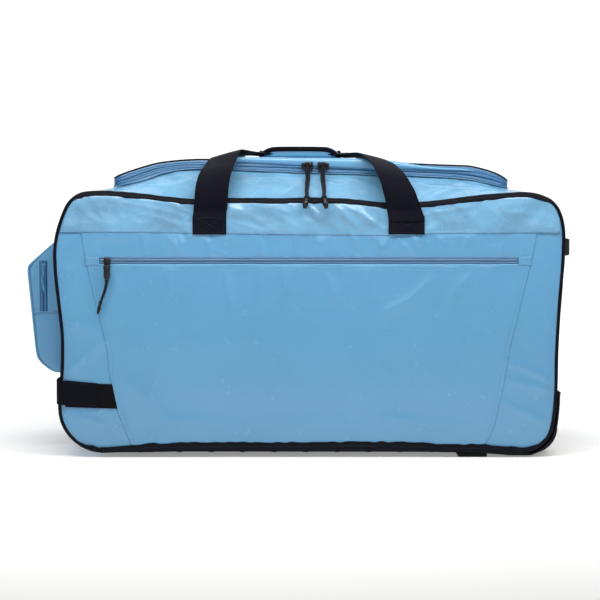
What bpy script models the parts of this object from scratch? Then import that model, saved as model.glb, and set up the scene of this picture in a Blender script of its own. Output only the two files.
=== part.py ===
"""A rolling soft sports bag: sewn shell, zipped lid, pockets, carry handles, wheels and trolley handle.

Metres, +Z up. X runs along the bag, -Y is the front, and the bag stands on Z = 0.
Everything hangs on the empty bag_centre, which stands at the middle of the shell's length.
"""

import math

import bmesh
import bpy
from mathutils import Vector
from mathutils.geometry import interpolate_bezier

# Shell
CENTRE_X = 0.010  # the end pocket reaches further out than the grab handle
FACE_Y = 0.180  # outside of the front and rear faces
BASE_HALF = 0.373
TOP_HALF = 0.384
BASE_Z = 0.0085
TOP_Z = 0.392
BASE_RADIUS = 0.062
GUARD_RADIUS = 0.044
TOP_RADIUS = 0.052
CLOTH = 0.003
GAP = 0.0003
PIPING_RADIUS = 0.00275
BAND_Y = 0.1743  # half the depth of the shell between the two rings of piping

# Lid and main zip
LID_HALF = 0.300
ARCH_TOP = 0.435
ARCH_DROP = 0.028
ZIP_Y = 0.1325
ZIP_REAR_Y = 0.128
ZIP_CORNER = 0.012
TAPE = 0.0022
LID_RISE = 0.0145
LID_REAR_Y = 0.131
LID_HINGE = Vector((0, 0.136, 0.442))

# Carry handles
STRAP = 0.050
STRAP_THICK = 0.0026
HANDLE_CENTRE = -0.004
STRAP_SPREAD = 0.148
FOOT_Z = (0.3365, 0.3640)
LEG_AXIS = Vector((0, -0.1816, 0.3660))
SHOULDER_AXIS = Vector((0, -0.1632, 0.4460))
LIFT_AXIS = Vector((0, -0.1490, 0.4580))
STRAP_TOP_Z = 0.4605
WRAP_X = -0.012
WRAP_SIZE = (0.107, 0.040, 0.026)
WRAP_BORE = (0.034, 0.012)

# Wheels
WHEEL_RADIUS = 0.040
WHEEL_X = 0.3375
WHEEL_Y = 0.135
WHEEL_WIDTH = 0.024
RIM_RADIUS = 0.030
AXLE_RADIUS = 0.004
WELL_RADIUS = 0.047
WELL_WIDTH = 0.039
GUARD_TOP_Z = 0.098

# Trolley handle
TUBE_Y = 0.080
TUBE_Z = 0.057
OUTER_TUBE = (0.011, 0.009)
OUTER_LENGTH = 0.4675
INNER_TUBE = (0.0085, 0.0070)
INNER_LENGTH = 0.4225
TUBE_HOLE = 0.0095
BEZEL_X = (-0.3785, -0.3385)
BEZEL_HALF_Y = 0.1075
BEZEL_Z = (0.0345, 0.0795)
GRIP_X = (-0.3770, -0.3535)

# Pockets and end fittings
POCKET_ZIP_Z = 0.294
POCKET_ZIP_X = (-0.318, 0.313)
POCKET_SLIDER_X = -0.305
END_POCKET_HALF_Y = 0.125
END_ZIP_X = -0.409
END_SLIDER_Z = 0.286
END_STRAP_Z = (0.081, 0.118)
GRAB_Z = (0.300, 0.326)

# Pulls: tab width, tab length, cord width, whole length, thickness
MAIN_PULL = (0.008, 0.020, 0.006, 0.060, 0.003)
FRONT_POCKET_PULL = (0.011, 0.020, 0.004, 0.074, 0.003)
END_POCKET_PULL = (0.007, 0.012, 0.0035, 0.038, 0.003)


def new_collection(name, hidden=False):
    made = bpy.data.collections.new(name)
    bpy.context.scene.collection.children.link(made)
    made.hide_render = hidden
    return made


def new_material(name, colour, roughness, metallic=0.0):
    made = bpy.data.materials.new(name)
    made.use_nodes = True
    shader = made.node_tree.nodes["Principled BSDF"]
    shader.inputs["Base Color"].default_value = (*colour, 1)
    shader.inputs["Roughness"].default_value = roughness
    shader.inputs["Metallic"].default_value = metallic
    made.diffuse_color = (*colour, 1)
    return made


for old in list(bpy.data.objects):
    bpy.data.objects.remove(old)
parts = new_collection("rolling_bag")
cutters = new_collection("cutters", hidden=True)

TARPAULIN = new_material("tarpaulin", (0.13, 0.36, 0.58), 0.28)
PIPING = new_material("piping", (0.008, 0.011, 0.022), 0.35)
WEBBING = new_material("webbing", (0.026, 0.027, 0.045), 0.75)
ZIP_TAPE = new_material("zip_tape", (0.06, 0.20, 0.38), 0.45)
MOULDING = new_material("moulding", (0.012, 0.012, 0.014), 0.5)
SLIDER_METAL = new_material("slider_metal", (0.03, 0.03, 0.035), 0.35, 0.9)
CORD = new_material("cord", (0.012, 0.012, 0.016), 0.6)
TYRE = new_material("tyre_rubber", (0.015, 0.015, 0.016), 0.8)
TUBE_METAL = new_material("tube_aluminium", (0.62, 0.63, 0.65), 0.3, 1.0)
BOARD = new_material("base_board_plastic", (0.08, 0.08, 0.085), 0.6)


def pivot(name, at, parent=None):
    """An empty on a joint's axis. Pieces and later pivots that move with the joint hang on it."""
    made = bpy.data.objects.new(name, None)
    parts.objects.link(made)
    made.parent = parent
    made.location = Vector(at) - (origin_of(parent) if parent else Vector())
    made.empty_display_size = 0.02
    return made


def origin_of(empty):
    """Where an empty stands, measured from bag_centre."""
    if empty is None or empty.name == "bag_centre":
        return Vector()
    return empty.location + origin_of(empty.parent)


CENTRE = pivot("bag_centre", (CENTRE_X, 0, 0))


def place(name, data, material, at=(0, 0, 0), turn=(0, 0, 0), on=None, into=None):
    piece = bpy.data.objects.new(name, data)
    (into or parts).objects.link(piece)
    if material:
        data.materials.append(material)
    piece.parent = on or CENTRE
    piece.location = Vector(at) - origin_of(on)
    piece.rotation_euler = turn
    if into:
        piece.hide_render = True
        piece.display_type = "WIRE"
    return piece


def block(name, low, high, material, bevel=0.0, on=None, into=None):
    """A box between two corners, with its edges rounded."""
    low, high = Vector(low), Vector(high)
    mesh = bpy.data.meshes.new(name)
    form = bmesh.new()
    bmesh.ops.create_cube(form, size=1)
    bmesh.ops.scale(form, vec=high - low, verts=form.verts)
    form.to_mesh(mesh)
    form.free()
    piece = place(name, mesh, material, (low + high) / 2, on=on, into=into)
    if bevel:
        edge = piece.modifiers.new("edge", "BEVEL")
        edge.width = bevel
        edge.segments = 2
    return piece


def plate(name, outline, thickness, plane, at, material, on=None, into=None):
    """A flat outline with thickness. plane is the outline's own plane: XY, XZ or YZ."""
    curve = bpy.data.curves.new(name, "CURVE")
    curve.dimensions = "2D"
    curve.fill_mode = "BOTH"
    curve.extrude = thickness / 2
    line = curve.splines.new("POLY")
    line.points.add(len(outline) - 1)
    for point, (across, up) in zip(line.points, outline):
        point.co = (across, up, 0, 1)
    line.use_cyclic_u = True
    turns = {
        "XY": (0, 0, 0),
        "XZ": (math.pi / 2, 0, 0),
        "YZ": (math.pi / 2, 0, math.pi / 2),
    }
    middle = {"XY": (0, 0, at), "XZ": (0, at, 0), "YZ": (at, 0, 0)}[plane]
    return place(name, curve, material, middle, turns[plane], on, into)


def as_mesh(piece):
    """The same piece as a mesh with its caps welded, so that it can take a Boolean."""
    graph = bpy.context.evaluated_depsgraph_get()
    mesh = bpy.data.meshes.new_from_object(piece.evaluated_get(graph))
    form = bmesh.new()
    form.from_mesh(mesh)
    bmesh.ops.remove_doubles(form, verts=form.verts, dist=1e-6)
    bmesh.ops.recalc_face_normals(form, faces=form.faces)
    form.to_mesh(mesh)
    form.free()
    made = bpy.data.objects.new("mesh", mesh)
    for collection in piece.users_collection:
        collection.objects.link(made)
    made.parent = piece.parent
    made.location = piece.location
    made.rotation_euler = piece.rotation_euler
    made.hide_render = piece.hide_render
    made.display_type = piece.display_type
    name = piece.name
    bpy.data.objects.remove(piece)
    made.name = name
    return made


def combine(piece, other, operation="DIFFERENCE"):
    step = piece.modifiers.new(other.name, "BOOLEAN")
    step.operation = operation
    step.object = other


def ribbon(name, rows, thickness, material, on=None):
    """A sheet through rows of points, given thickness about its middle."""
    count = len(rows[0])
    points = [Vector(point) - origin_of(on) for row in rows for point in row]
    faces = [
        (r * count + c, r * count + c + 1, (r + 1) * count + c + 1, (r + 1) * count + c)
        for r in range(len(rows) - 1)
        for c in range(count - 1)
    ]
    mesh = bpy.data.meshes.new(name)
    mesh.from_pydata(points, [], faces)
    piece = place(name, mesh, material, origin_of(on), on=on)
    solid = piece.modifiers.new("thickness", "SOLIDIFY")
    solid.thickness = thickness
    solid.offset = 0
    solid.use_even_offset = True
    return piece


def tube(name, points, radius, material, cyclic=False, on=None):
    curve = bpy.data.curves.new(name, "CURVE")
    curve.dimensions = "3D"
    curve.bevel_depth = radius
    curve.bevel_resolution = 1
    curve.use_fill_caps = True
    line = curve.splines.new("POLY")
    line.points.add(len(points) - 1)
    for point, co in zip(line.points, points):
        point.co = (*co, 1)
    line.use_cyclic_u = cyclic
    return place(name, curve, material, origin_of(on), on=on)


def turned(name, profile, material, at, turn, steps, on=None, into=None):
    """A closed profile of (radius, height) points turned about its own Z axis."""
    mesh = bpy.data.meshes.new(name)
    points = [(radius, 0, height) for radius, height in profile]
    edges = [(n, (n + 1) % len(points)) for n in range(len(points))]
    mesh.from_pydata(points, edges, [])
    piece = place(name, mesh, material, at, turn, on, into)
    screw = piece.modifiers.new("turn", "SCREW")
    screw.steps = steps
    screw.render_steps = steps
    screw.use_merge_vertices = True
    screw.merge_threshold = 1e-5
    return piece


def drum(name, outer, inner, length, material, at, turn, steps, on=None, into=None):
    """A straight pipe, or a rod when inner is 0, centred on at."""
    half = length / 2
    profile = [(outer, half), (outer, -half), (inner, -half), (inner, half)]
    return turned(name, profile, material, at, turn, steps, on, into)


ALONG_X = (0, math.pi / 2, 0)
ALONG_Y = (math.pi / 2, 0, 0)


def rounded_loop(corners, radii, steps):
    """(point, outward normal) pairs round a polygon whose corners are arcs."""
    loop = []
    for n, (corner, radius) in enumerate(zip(corners, radii)):
        before = (corners[n - 1] - corner).normalized()
        after = (corners[(n + 1) % len(corners)] - corner).normalized()
        half_angle = before.angle(after) / 2
        middle = corner + (before + after).normalized() * (radius / math.sin(half_angle))
        reach = radius / math.tan(half_angle)
        start = (corner + before * reach - middle).normalized()
        end = (corner + after * reach - middle).normalized()
        for step in range(steps + 1):
            normal = start.slerp(end, step / steps)
            loop.append((middle + normal * radius, normal))
    return loop


ARC_STEPS = 6
SHELL = rounded_loop(
    [
        Vector((-BASE_HALF, BASE_Z)),
        Vector((-TOP_HALF, TOP_Z)),
        Vector((TOP_HALF, TOP_Z)),
        Vector((BASE_HALF, BASE_Z)),
    ],
    [BASE_RADIUS, TOP_RADIUS, TOP_RADIUS, GUARD_RADIUS],
    ARC_STEPS,
)
BASE_LEFT, TOP_LEFT, TOP_RIGHT, BASE_RIGHT = (
    SHELL[n * (ARC_STEPS + 1) : (n + 1) * (ARC_STEPS + 1)] for n in range(4)
)


def offset(path, distance):
    return [tuple(point + normal * distance) for point, normal in path]


def side_point(side, height):
    """Where the shell's left (-1) or right (1) edge is at a height, with its normal."""
    lean = (TOP_HALF - BASE_HALF) / (TOP_Z - BASE_Z)
    point = Vector((side * (BASE_HALF + lean * (height - BASE_Z)), height))
    return point, Vector((side, -lean)).normalized()


def band(name, path, outer, inner, material, on=None):
    """A strip of the shell between its two faces, from an offset outline to another."""
    outline = offset(path, outer) + offset(path, inner)[::-1]
    return plate(name, outline, 2 * BAND_Y, "XZ", 0, material, on)


def arch(x):
    """Height of the body's half of the main zip, which bows along the bag."""
    return ARCH_TOP - ARCH_DROP * (abs(x) / LID_HALF) ** 4


def spaced(low, high, count):
    return [low + (high - low) * n / (count - 1) for n in range(count)]


def zip_path(side_x, front_y, rear_y, radius):
    """Plan route from the rear of one end, across the front, to the rear of the other."""
    corner = [
        (
            -side_x + radius * (1 - math.cos(angle)),
            -front_y + radius * (1 - math.sin(angle)),
        )
        for angle in spaced(0, math.pi / 2, 5)
    ]
    front = [(x, -front_y) for x in spaced(-side_x + radius, 0, 8)[1:]]
    half = [(-side_x, rear_y)] + corner + front
    return half + [(-x, y) for x, y in half[-2::-1]]


def shell_faces():
    inset = -2 * PIPING_RADIUS - 0.0005
    thickness = 0.0035
    for name, side in (("front_panel", -1), ("rear_panel", 1)):
        middle = side * (FACE_Y - thickness / 2)
        plate(name, offset(SHELL, inset), thickness, "XZ", middle, TARPAULIN)


def shell_piping():
    ring = offset(SHELL, -PIPING_RADIUS)
    for name, side in (("front_piping", -1), ("rear_piping", 1)):
        y = side * (FACE_Y - PIPING_RADIUS + 0.00025)
        tube(name, [(x, y, z) for x, z in ring], PIPING_RADIUS, PIPING, cyclic=True)


def shell_ends():
    outer, inner = -0.0015, -0.0015 - CLOTH
    rise = Vector((-0.48, 0.88))  # the cloth's outward side where it meets the zip
    shoulder = Vector((-0.3055, 0.4060))
    left = BASE_LEFT + TOP_LEFT + [(shoulder, rise)]
    end = as_mesh(band("left_end_panel", left, outer, inner, TARPAULIN))
    window = block(
        "bezel_window",
        (BEZEL_X[0] - 0.01, -BEZEL_HALF_Y - GAP, BEZEL_Z[0] - GAP),
        (BEZEL_X[1] + 0.03, BEZEL_HALF_Y + GAP, BEZEL_Z[1] + GAP),
        None,
        into=cutters,
    )
    combine(end, window)
    other = (Vector((-shoulder.x, shoulder.y)), Vector((-rise.x, rise.y)))
    right = [other] + TOP_RIGHT + [side_point(1, GUARD_TOP_Z + 0.0025)]
    band("right_end_panel", right, outer, inner, TARPAULIN)


def top_strips():
    """The sloping cloth between the piping and the zip, in front and behind."""
    columns = spaced(-0.302, 0.302, 17)
    for name, side in (("top_front_strip", -1), ("top_rear_strip", 1)):
        low = [(x, side * 0.1740, TOP_Z - 0.003) for x in columns]
        high = [(x, side * (ZIP_Y + 0.001), arch(x) - 0.002) for x in columns]
        ribbon(name, [low, high], CLOTH, TARPAULIN)


def base():
    """The moulded tray that wraps up the wheel end, the board on it and the feet."""
    lip = [side_point(1, GUARD_TOP_Z)]
    left_stop = (BASE_LEFT[0][0] + Vector((0.0006, 0)), Vector((0, -1)))
    path = lip + BASE_RIGHT + [left_stop]
    tray = as_mesh(band("base_tray", path, 0.003, -0.0005, MOULDING))
    half = WELL_WIDTH / 2 - 0.003
    for name, side in (("front_slot", -1), ("rear_slot", 1)):
        slot = block(
            name,
            (WHEEL_X - 0.043, side * WHEEL_Y - half, -0.01),
            (WHEEL_X + 0.08, side * WHEEL_Y + half, 0.088),
            None,
            into=cutters,
        )
        combine(tray, slot)
    block("base_board", (-0.300, -0.168, 0.0125), (0.285, 0.168, 0.0165), BOARD)
    for name, x in (("left_foot_bar", -0.262), ("right_foot_bar", 0.244)):
        outline = [(x - 0.022, 0.0052), (x - 0.014, 0), (x + 0.014, 0), (x + 0.022, 0.0052)]
        plate(name, outline, 0.300, "XZ", 0, MOULDING)


def wheel_housing(name, side):
    centre = (WHEEL_X, side * WHEEL_Y, WHEEL_RADIUS)
    well = drum(name, WELL_RADIUS, 0, WELL_WIDTH, MOULDING, centre, ALONG_Y, 32)
    keep = plate(
        name + "_keep", offset(SHELL, -0.0009), 0.4, "XZ", 0, None, into=cutters
    )
    combine(well, as_mesh(keep), "INTERSECT")
    inside = drum(
        name + "_inside",
        WELL_RADIUS - 0.0035,
        0,
        WELL_WIDTH - 0.006,
        None,
        centre,
        ALONG_Y,
        32,
        into=cutters,
    )
    combine(well, inside)
    hole = drum(
        name + "_hole", AXLE_RADIUS + GAP, 0, 0.06, None, centre, ALONG_Y, 16, into=cutters
    )
    combine(well, hole)


def wheel(label, side):
    centre = (WHEEL_X, side * WHEEL_Y, WHEEL_RADIUS)
    spin = pivot(label + "_wheel_axis", centre, CENTRE)
    half = WHEEL_WIDTH / 2
    crown = [
        (WHEEL_RADIUS - 0.004 * (1 - math.cos(angle)), half * math.sin(angle))
        for angle in spaced(math.pi / 2, -math.pi / 2, 7)
    ]
    tread = crown + [(RIM_RADIUS, -half), (RIM_RADIUS, half)]
    turned(label + "_tyre", tread, TYRE, centre, ALONG_Y, 36, on=spin)
    bore = AXLE_RADIUS + 0.0006
    rim = RIM_RADIUS - GAP
    web = 0.004
    hub = [
        (rim, half - 0.001),
        (rim, 0.001 - half),
        (rim - 0.003, 0.001 - half),
        (rim - 0.005, -web),
        (0.012, -web),
        (0.010, -half),
        (bore, -half),
        (bore, half),
        (0.010, half),
        (0.012, web),
        (rim - 0.005, web),
        (rim - 0.003, half - 0.001),
    ]
    turned(label + "_hub", hub, MOULDING, centre, ALONG_Y, 24, on=spin)
    drum(label + "_axle", AXLE_RADIUS, 0, 0.042, SLIDER_METAL, centre, ALONG_Y, 16)


def main_zip(lid):
    route = zip_path(LID_HALF, ZIP_Y, ZIP_REAR_Y, ZIP_CORNER)
    lower = [[(x, y, arch(x) + rise) for x, y in route] for rise in (0.0005, 0.0070)]
    upper = [[(x, y, arch(x) + rise) for x, y in route] for rise in (0.0075, 0.0140)]
    ribbon("main_zip_lower", lower, TAPE, ZIP_TAPE)
    ribbon("main_zip_upper", upper, TAPE, ZIP_TAPE, on=lid)


def lid_cover(lid):
    """The arched cover with rounded front corners, and the piping round its free edges."""
    half = LID_HALF - 0.0015
    front = ZIP_Y - 0.002
    corner = spaced(0, 1, 5)
    inner = half - ZIP_CORNER
    left = [-inner - ZIP_CORNER * math.cos(t * math.pi / 2) for t in corner]
    columns = left + spaced(-inner, inner, 15)[1:-1] + [-x for x in left[::-1]]

    def front_edge(x):
        past = max(0.0, abs(x) - inner)
        return -front + ZIP_CORNER - math.sqrt(max(0.0, ZIP_CORNER**2 - past**2))

    rows = [
        [
            (x, front_edge(x) + (LID_REAR_Y - front_edge(x)) * share, arch(x) + LID_RISE)
            for x in columns
        ]
        for share in (0, 0.5, 1)
    ]
    ribbon("lid_panel", rows, CLOTH, TARPAULIN, on=lid)
    edge = zip_path(LID_HALF + 0.0010, ZIP_Y + 0.0005, ZIP_REAR_Y, ZIP_CORNER)
    bead = [Vector((x, y, arch(x) + 0.0166)) - origin_of(lid) for x, y in edge]
    tube("lid_piping", bead, 0.0018, PIPING, on=lid)


def hanging_pull(name, on, size, lean=0.0):
    """A pull tab with its cord, hanging from the pivot and leaning out at the bottom."""
    tab_width, tab_length, cord_width, length, thickness = size
    wide, thin = tab_width / 2, cord_width / 2
    outline = [
        (-wide, 0),
        (wide, 0),
        (wide, -tab_length + 0.004),
        (thin, -tab_length),
        (thin, -length),
        (-thin, -length),
        (-thin, -tab_length),
        (-wide, -tab_length + 0.004),
    ]
    outline = [(across, up - 0.0005) for across, up in outline]
    pull = plate(name, outline, thickness, "XZ", 0, CORD)
    pull.parent = on
    pull.location = (0, 0, 0)
    pull.rotation_euler = (math.pi / 2 - lean, 0, 0)
    return pull


def main_sliders():
    y, z = -ZIP_Y - TAPE / 2 - 0.0007, arch(0) + 0.00725
    for label, x in (("left", -0.0055), ("right", 0.0187)):
        travel = pivot(f"main_slider_{label}_travel", (x, y, z), CENTRE)
        block(
            f"main_slider_{label}",
            (x - 0.0055, y - 0.005, z - 0.006),
            (x + 0.0055, y, z + 0.006),
            SLIDER_METAL,
            0.0015,
            on=travel,
        )
        swing = pivot(f"main_pull_{label}_axis", (x, y - 0.0072, z), travel)
        hanging_pull(f"main_pull_{label}", swing, MAIN_PULL, math.radians(46))


def front_pocket():
    low, high = 0.022, POCKET_ZIP_Z - 0.0093
    corners = [(-0.334, high), (-0.271, low), (0.260, low), (0.326, high)]
    outline = rounded_loop([Vector(c) for c in corners], [0.01] * 4, 3)
    y = -FACE_Y - GAP
    plate("front_pocket_panel", offset(outline, 0), 0.0022, "XZ", y - 0.0011, TARPAULIN)
    left, right = POCKET_ZIP_X
    block(
        "front_pocket_zip",
        (left, y - 0.0017, POCKET_ZIP_Z - 0.0075),
        (right, y, POCKET_ZIP_Z + 0.0075),
        ZIP_TAPE,
    )
    front = y - 0.0020
    at = (POCKET_SLIDER_X, front, POCKET_ZIP_Z)
    travel = pivot("front_pocket_slider_travel", at, CENTRE)
    block(
        "front_pocket_slider",
        (at[0] - 0.005, front - 0.0045, at[2] - 0.0065),
        (at[0] + 0.005, front, at[2] + 0.0065),
        SLIDER_METAL,
        0.0012,
        on=travel,
    )
    swing = pivot("front_pocket_pull_axis", (at[0], front - 0.0063, at[2] - 0.002), travel)
    hanging_pull("front_pocket_pull", swing, FRONT_POCKET_PULL)


def end_pocket():
    """A bellows pocket on the left end, open towards the end panel behind it."""
    outer = [(-0.3812, 0.330), (-0.432, 0.285), (-0.430, 0.270)]
    outer += [(-0.419, 0.146), (-0.396, 0.126), (-0.3753, 0.124)]
    inner = [(-0.360, 0.3085), (-0.3795, 0.3265), (-0.4294, 0.2825), (-0.4275, 0.270)]
    inner += [(-0.4166, 0.1472), (-0.3951, 0.1285), (-0.3753, 0.1265), (-0.360, 0.1265)]
    depth = 2 * END_POCKET_HALF_Y
    pocket = as_mesh(plate("end_pocket", outer, depth, "XZ", 0, TARPAULIN))
    hollow = plate(
        "end_pocket_hollow", inner, depth - 0.005, "XZ", 0, None, into=cutters
    )
    combine(pocket, as_mesh(hollow))
    y = -END_POCKET_HALF_Y - GAP
    block(
        "end_pocket_zip",
        (END_ZIP_X - 0.0045, y - 0.0017, 0.216),
        (END_ZIP_X + 0.0045, y, 0.296),
        ZIP_TAPE,
    )
    front = y - 0.0020
    at = (END_ZIP_X, front, END_SLIDER_Z)
    travel = pivot("end_pocket_slider_travel", at, CENTRE)
    block(
        "end_pocket_slider",
        (at[0] - 0.004, front - 0.004, at[2] - 0.0055),
        (at[0] + 0.004, front, at[2] + 0.0055),
        SLIDER_METAL,
        0.001,
        on=travel,
    )
    swing = pivot("end_pocket_pull_axis", (at[0], front - 0.0058, at[2] - 0.001), travel)
    hanging_pull("end_pocket_pull", swing, END_POCKET_PULL)


def end_strap():
    """The wide strap round the low left end, over the edges of both faces."""
    x_end, y_face, radius = -0.3785, 0.1828, 0.004
    front = [(-0.321, -y_face), (x_end + radius, -y_face)]
    corner = [
        (
            x_end + radius * (1 - math.sin(angle)),
            -y_face + radius * (1 - math.cos(angle)),
        )
        for angle in spaced(0, math.pi / 2, 5)[1:]
    ]
    half = front + corner
    route = half + [(x, -y) for x, y in half[::-1]]
    rows = [[(x, y, z) for x, y in route] for z in END_STRAP_Z]
    ribbon("end_strap", rows, 0.0025, WEBBING)


def right_grab_handle():
    """A webbing loop sewn to the right end at both of its feet."""
    sewn, bulge = 0.3822, 0.4107
    bend = interpolate_bezier(
        Vector((sewn, -0.088, 0)),
        Vector((sewn, -0.066, 0)),
        Vector((bulge, -0.066, 0)),
        Vector((bulge, -0.030, 0)),
        6,
    )
    half = [(sewn, -0.118)] + [(p.x, p.y) for p in bend]
    route = half + [(x, -y) for x, y in half[::-1]]
    rows = [[(x, y, z) for x, y in route] for z in GRAB_Z]
    ribbon("right_grab_handle", rows, STRAP_THICK, WEBBING)


def strap_run(name, route, x, side, on):
    """A length of webbing across X, from (y, z) points of the front handle."""
    rows = [
        [(x + edge * STRAP / 2, -side * y, z) for y, z in route] for edge in (-1, 1)
    ]
    ribbon(name, rows, STRAP_THICK, WEBBING, on=on)


def mirrored(axis, side):
    return Vector((axis.x, -side * axis.y, axis.z))


def bezier(points, count):
    return [
        (p.x, p.y) for p in interpolate_bezier(*(Vector((*p, 0)) for p in points), count)
    ]


def handle_top(name, side, on):
    """The part over the lid: two wide ends that narrow towards the middle."""
    half = 12
    curve = bezier(
        [(-STRAP_SPREAD, -0.1475), (-STRAP_SPREAD, -0.085), (-0.118, -0.008), (-0.066, -0.008)],
        half,
    )
    line = [Vector(p) for p in curve] + [Vector((-p[0], p[1])) for p in curve[::-1]]
    ease = [n / (half - 1) for n in range(half)]
    widths = [STRAP - 0.035 * (t * t * (3 - 2 * t)) for t in ease]
    widths += widths[::-1]
    edges = ([], [])
    for n, (point, width) in enumerate(zip(line, widths)):
        ahead = line[min(n + 1, len(line) - 1)] - line[max(n - 1, 0)]
        if n in (0, len(line) - 1):
            ahead = Vector((0, 1 if n == 0 else -1))
        across = Vector((-ahead.y, ahead.x)).normalized() * (width / 2)
        edges[0].append(point + across)
        edges[1].append(point - across)
    loop = edges[0] + edges[1][::-1]
    outline = [(HANDLE_CENTRE + p.x, -side * p.y) for p in loop]
    top = plate(name, outline, STRAP_THICK + 0.0004, "XY", STRAP_TOP_Z, WEBBING)
    top.parent = on
    top.location = Vector((0, 0, STRAP_TOP_Z)) - origin_of(on)


def carry_handle(label, side):
    """One U of webbing: sewn feet, legs up the face, shoulders over the zip and the top."""
    legs = pivot(f"{label}_leg_axis", mirrored(LEG_AXIS, side), CENTRE)
    shoulders = pivot(f"{label}_shoulder_axis", mirrored(SHOULDER_AXIS, side), legs)
    top = pivot(f"{label}_lift_axis", mirrored(LIFT_AXIS, side), shoulders)
    leg = bezier(
        [(-0.1818, 0.3652), (-0.2030, 0.3950), (-0.1930, 0.4250), (-0.1638, 0.4450)], 8
    )
    shoulder = [(-0.1630, 0.4455), (-0.1560, 0.4520), (-0.1495, 0.4575)]
    for place_name, sign in (("left", -1), ("right", 1)):
        x = HANDLE_CENTRE + sign * STRAP_SPREAD
        near, far = sorted((side * (FACE_Y + GAP), side * (FACE_Y + GAP + STRAP_THICK)))
        block(
            f"{label}_strap_foot_{place_name}",
            (x - STRAP / 2, near, FOOT_Z[0]),
            (x + STRAP / 2, far, FOOT_Z[1]),
            WEBBING,
        )
        strap_run(f"{label}_strap_leg_{place_name}", leg, x, side, legs)
        strap_run(f"{label}_strap_shoulder_{place_name}", shoulder, x, side, shoulders)
    handle_top(f"{label}_handle_top", side, top)
    return top


def handle_wrap(top):
    """The padded sleeve that holds both handles together, with a bore through it."""
    x, y, z = WRAP_SIZE
    low = Vector((WRAP_X - x / 2, -y / 2, 0.4515))
    wrap = block("handle_wrap", low, low + Vector(WRAP_SIZE), TARPAULIN, 0.005, on=top)
    bore_y, bore_z = WRAP_BORE
    bore = block(
        "wrap_bore",
        (WRAP_X - x, -bore_y / 2, STRAP_TOP_Z - bore_z / 2),
        (WRAP_X + x, bore_y / 2, STRAP_TOP_Z + bore_z / 2),
        None,
        into=cutters,
    )
    combine(wrap, bore)


def trolley():
    """Two telescopic tubes on the base, the grip in its recess and its release button."""
    low = (BEZEL_X[0], -BEZEL_HALF_Y, BEZEL_Z[0])
    high = (BEZEL_X[1], BEZEL_HALF_Y, BEZEL_Z[1])
    bezel = block("trolley_bezel", low, high, MOULDING)
    recess = block(
        "bezel_recess",
        (BEZEL_X[0] - 0.01, -BEZEL_HALF_Y + 0.003, BEZEL_Z[0] + 0.003),
        (BEZEL_X[1] - 0.003, BEZEL_HALF_Y - 0.003, BEZEL_Z[1] - 0.003),
        None,
        into=cutters,
    )
    combine(bezel, recess)
    slide = pivot("trolley_travel", (GRIP_X[0], 0, TUBE_Z), CENTRE)
    for label, side in (("front", -1), ("rear", 1)):
        y = side * TUBE_Y
        hole = drum(
            f"{label}_tube_hole",
            TUBE_HOLE,
            0,
            0.06,
            None,
            (BEZEL_X[1], y, TUBE_Z),
            ALONG_X,
            20,
            into=cutters,
        )
        combine(bezel, hole)
        at = (BEZEL_X[1] + 0.0005 + OUTER_LENGTH / 2, y, TUBE_Z)
        drum(
            f"trolley_outer_tube_{label}",
            *OUTER_TUBE,
            OUTER_LENGTH,
            TUBE_METAL,
            at,
            ALONG_X,
            20,
        )
        at = (GRIP_X[1] + GAP + INNER_LENGTH / 2, y, TUBE_Z)
        drum(
            f"trolley_inner_tube_{label}",
            *INNER_TUBE,
            INNER_LENGTH,
            TUBE_METAL,
            at,
            ALONG_X,
            20,
            on=slide,
        )
    grip = block(
        "trolley_grip",
        (GRIP_X[0], -0.100, TUBE_Z - 0.011),
        (GRIP_X[1], 0.100, TUBE_Z + 0.011),
        MOULDING,
        0.005,
        on=slide,
    )
    press = pivot("release_button_travel", (GRIP_X[0], 0, TUBE_Z), slide)
    pocket = block(
        "button_pocket",
        (GRIP_X[0] - 0.01, -0.0205, TUBE_Z - 0.0075),
        (GRIP_X[0] + 0.011, 0.0205, TUBE_Z + 0.0075),
        None,
        into=cutters,
    )
    combine(grip, pocket)
    block(
        "release_button",
        (GRIP_X[0] - 0.0015, -0.020, TUBE_Z - 0.007),
        (GRIP_X[0] + 0.0062, 0.020, TUBE_Z + 0.007),
        MOULDING,
        0.0012,
        on=press,
    )


shell_faces()
shell_piping()
shell_ends()
top_strips()
base()
for LABEL, SIDE in (("front", -1), ("rear", 1)):
    wheel_housing(f"{LABEL}_wheel_housing", SIDE)
    wheel(LABEL, SIDE)
LID = pivot("lid_axis", LID_HINGE, CENTRE)
main_zip(LID)
lid_cover(LID)
main_sliders()
front_pocket()
end_pocket()
end_strap()
right_grab_handle()
FRONT_TOP = carry_handle("front", -1)
carry_handle("rear", 1)
handle_wrap(FRONT_TOP)
trolley()
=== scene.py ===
import math

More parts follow.
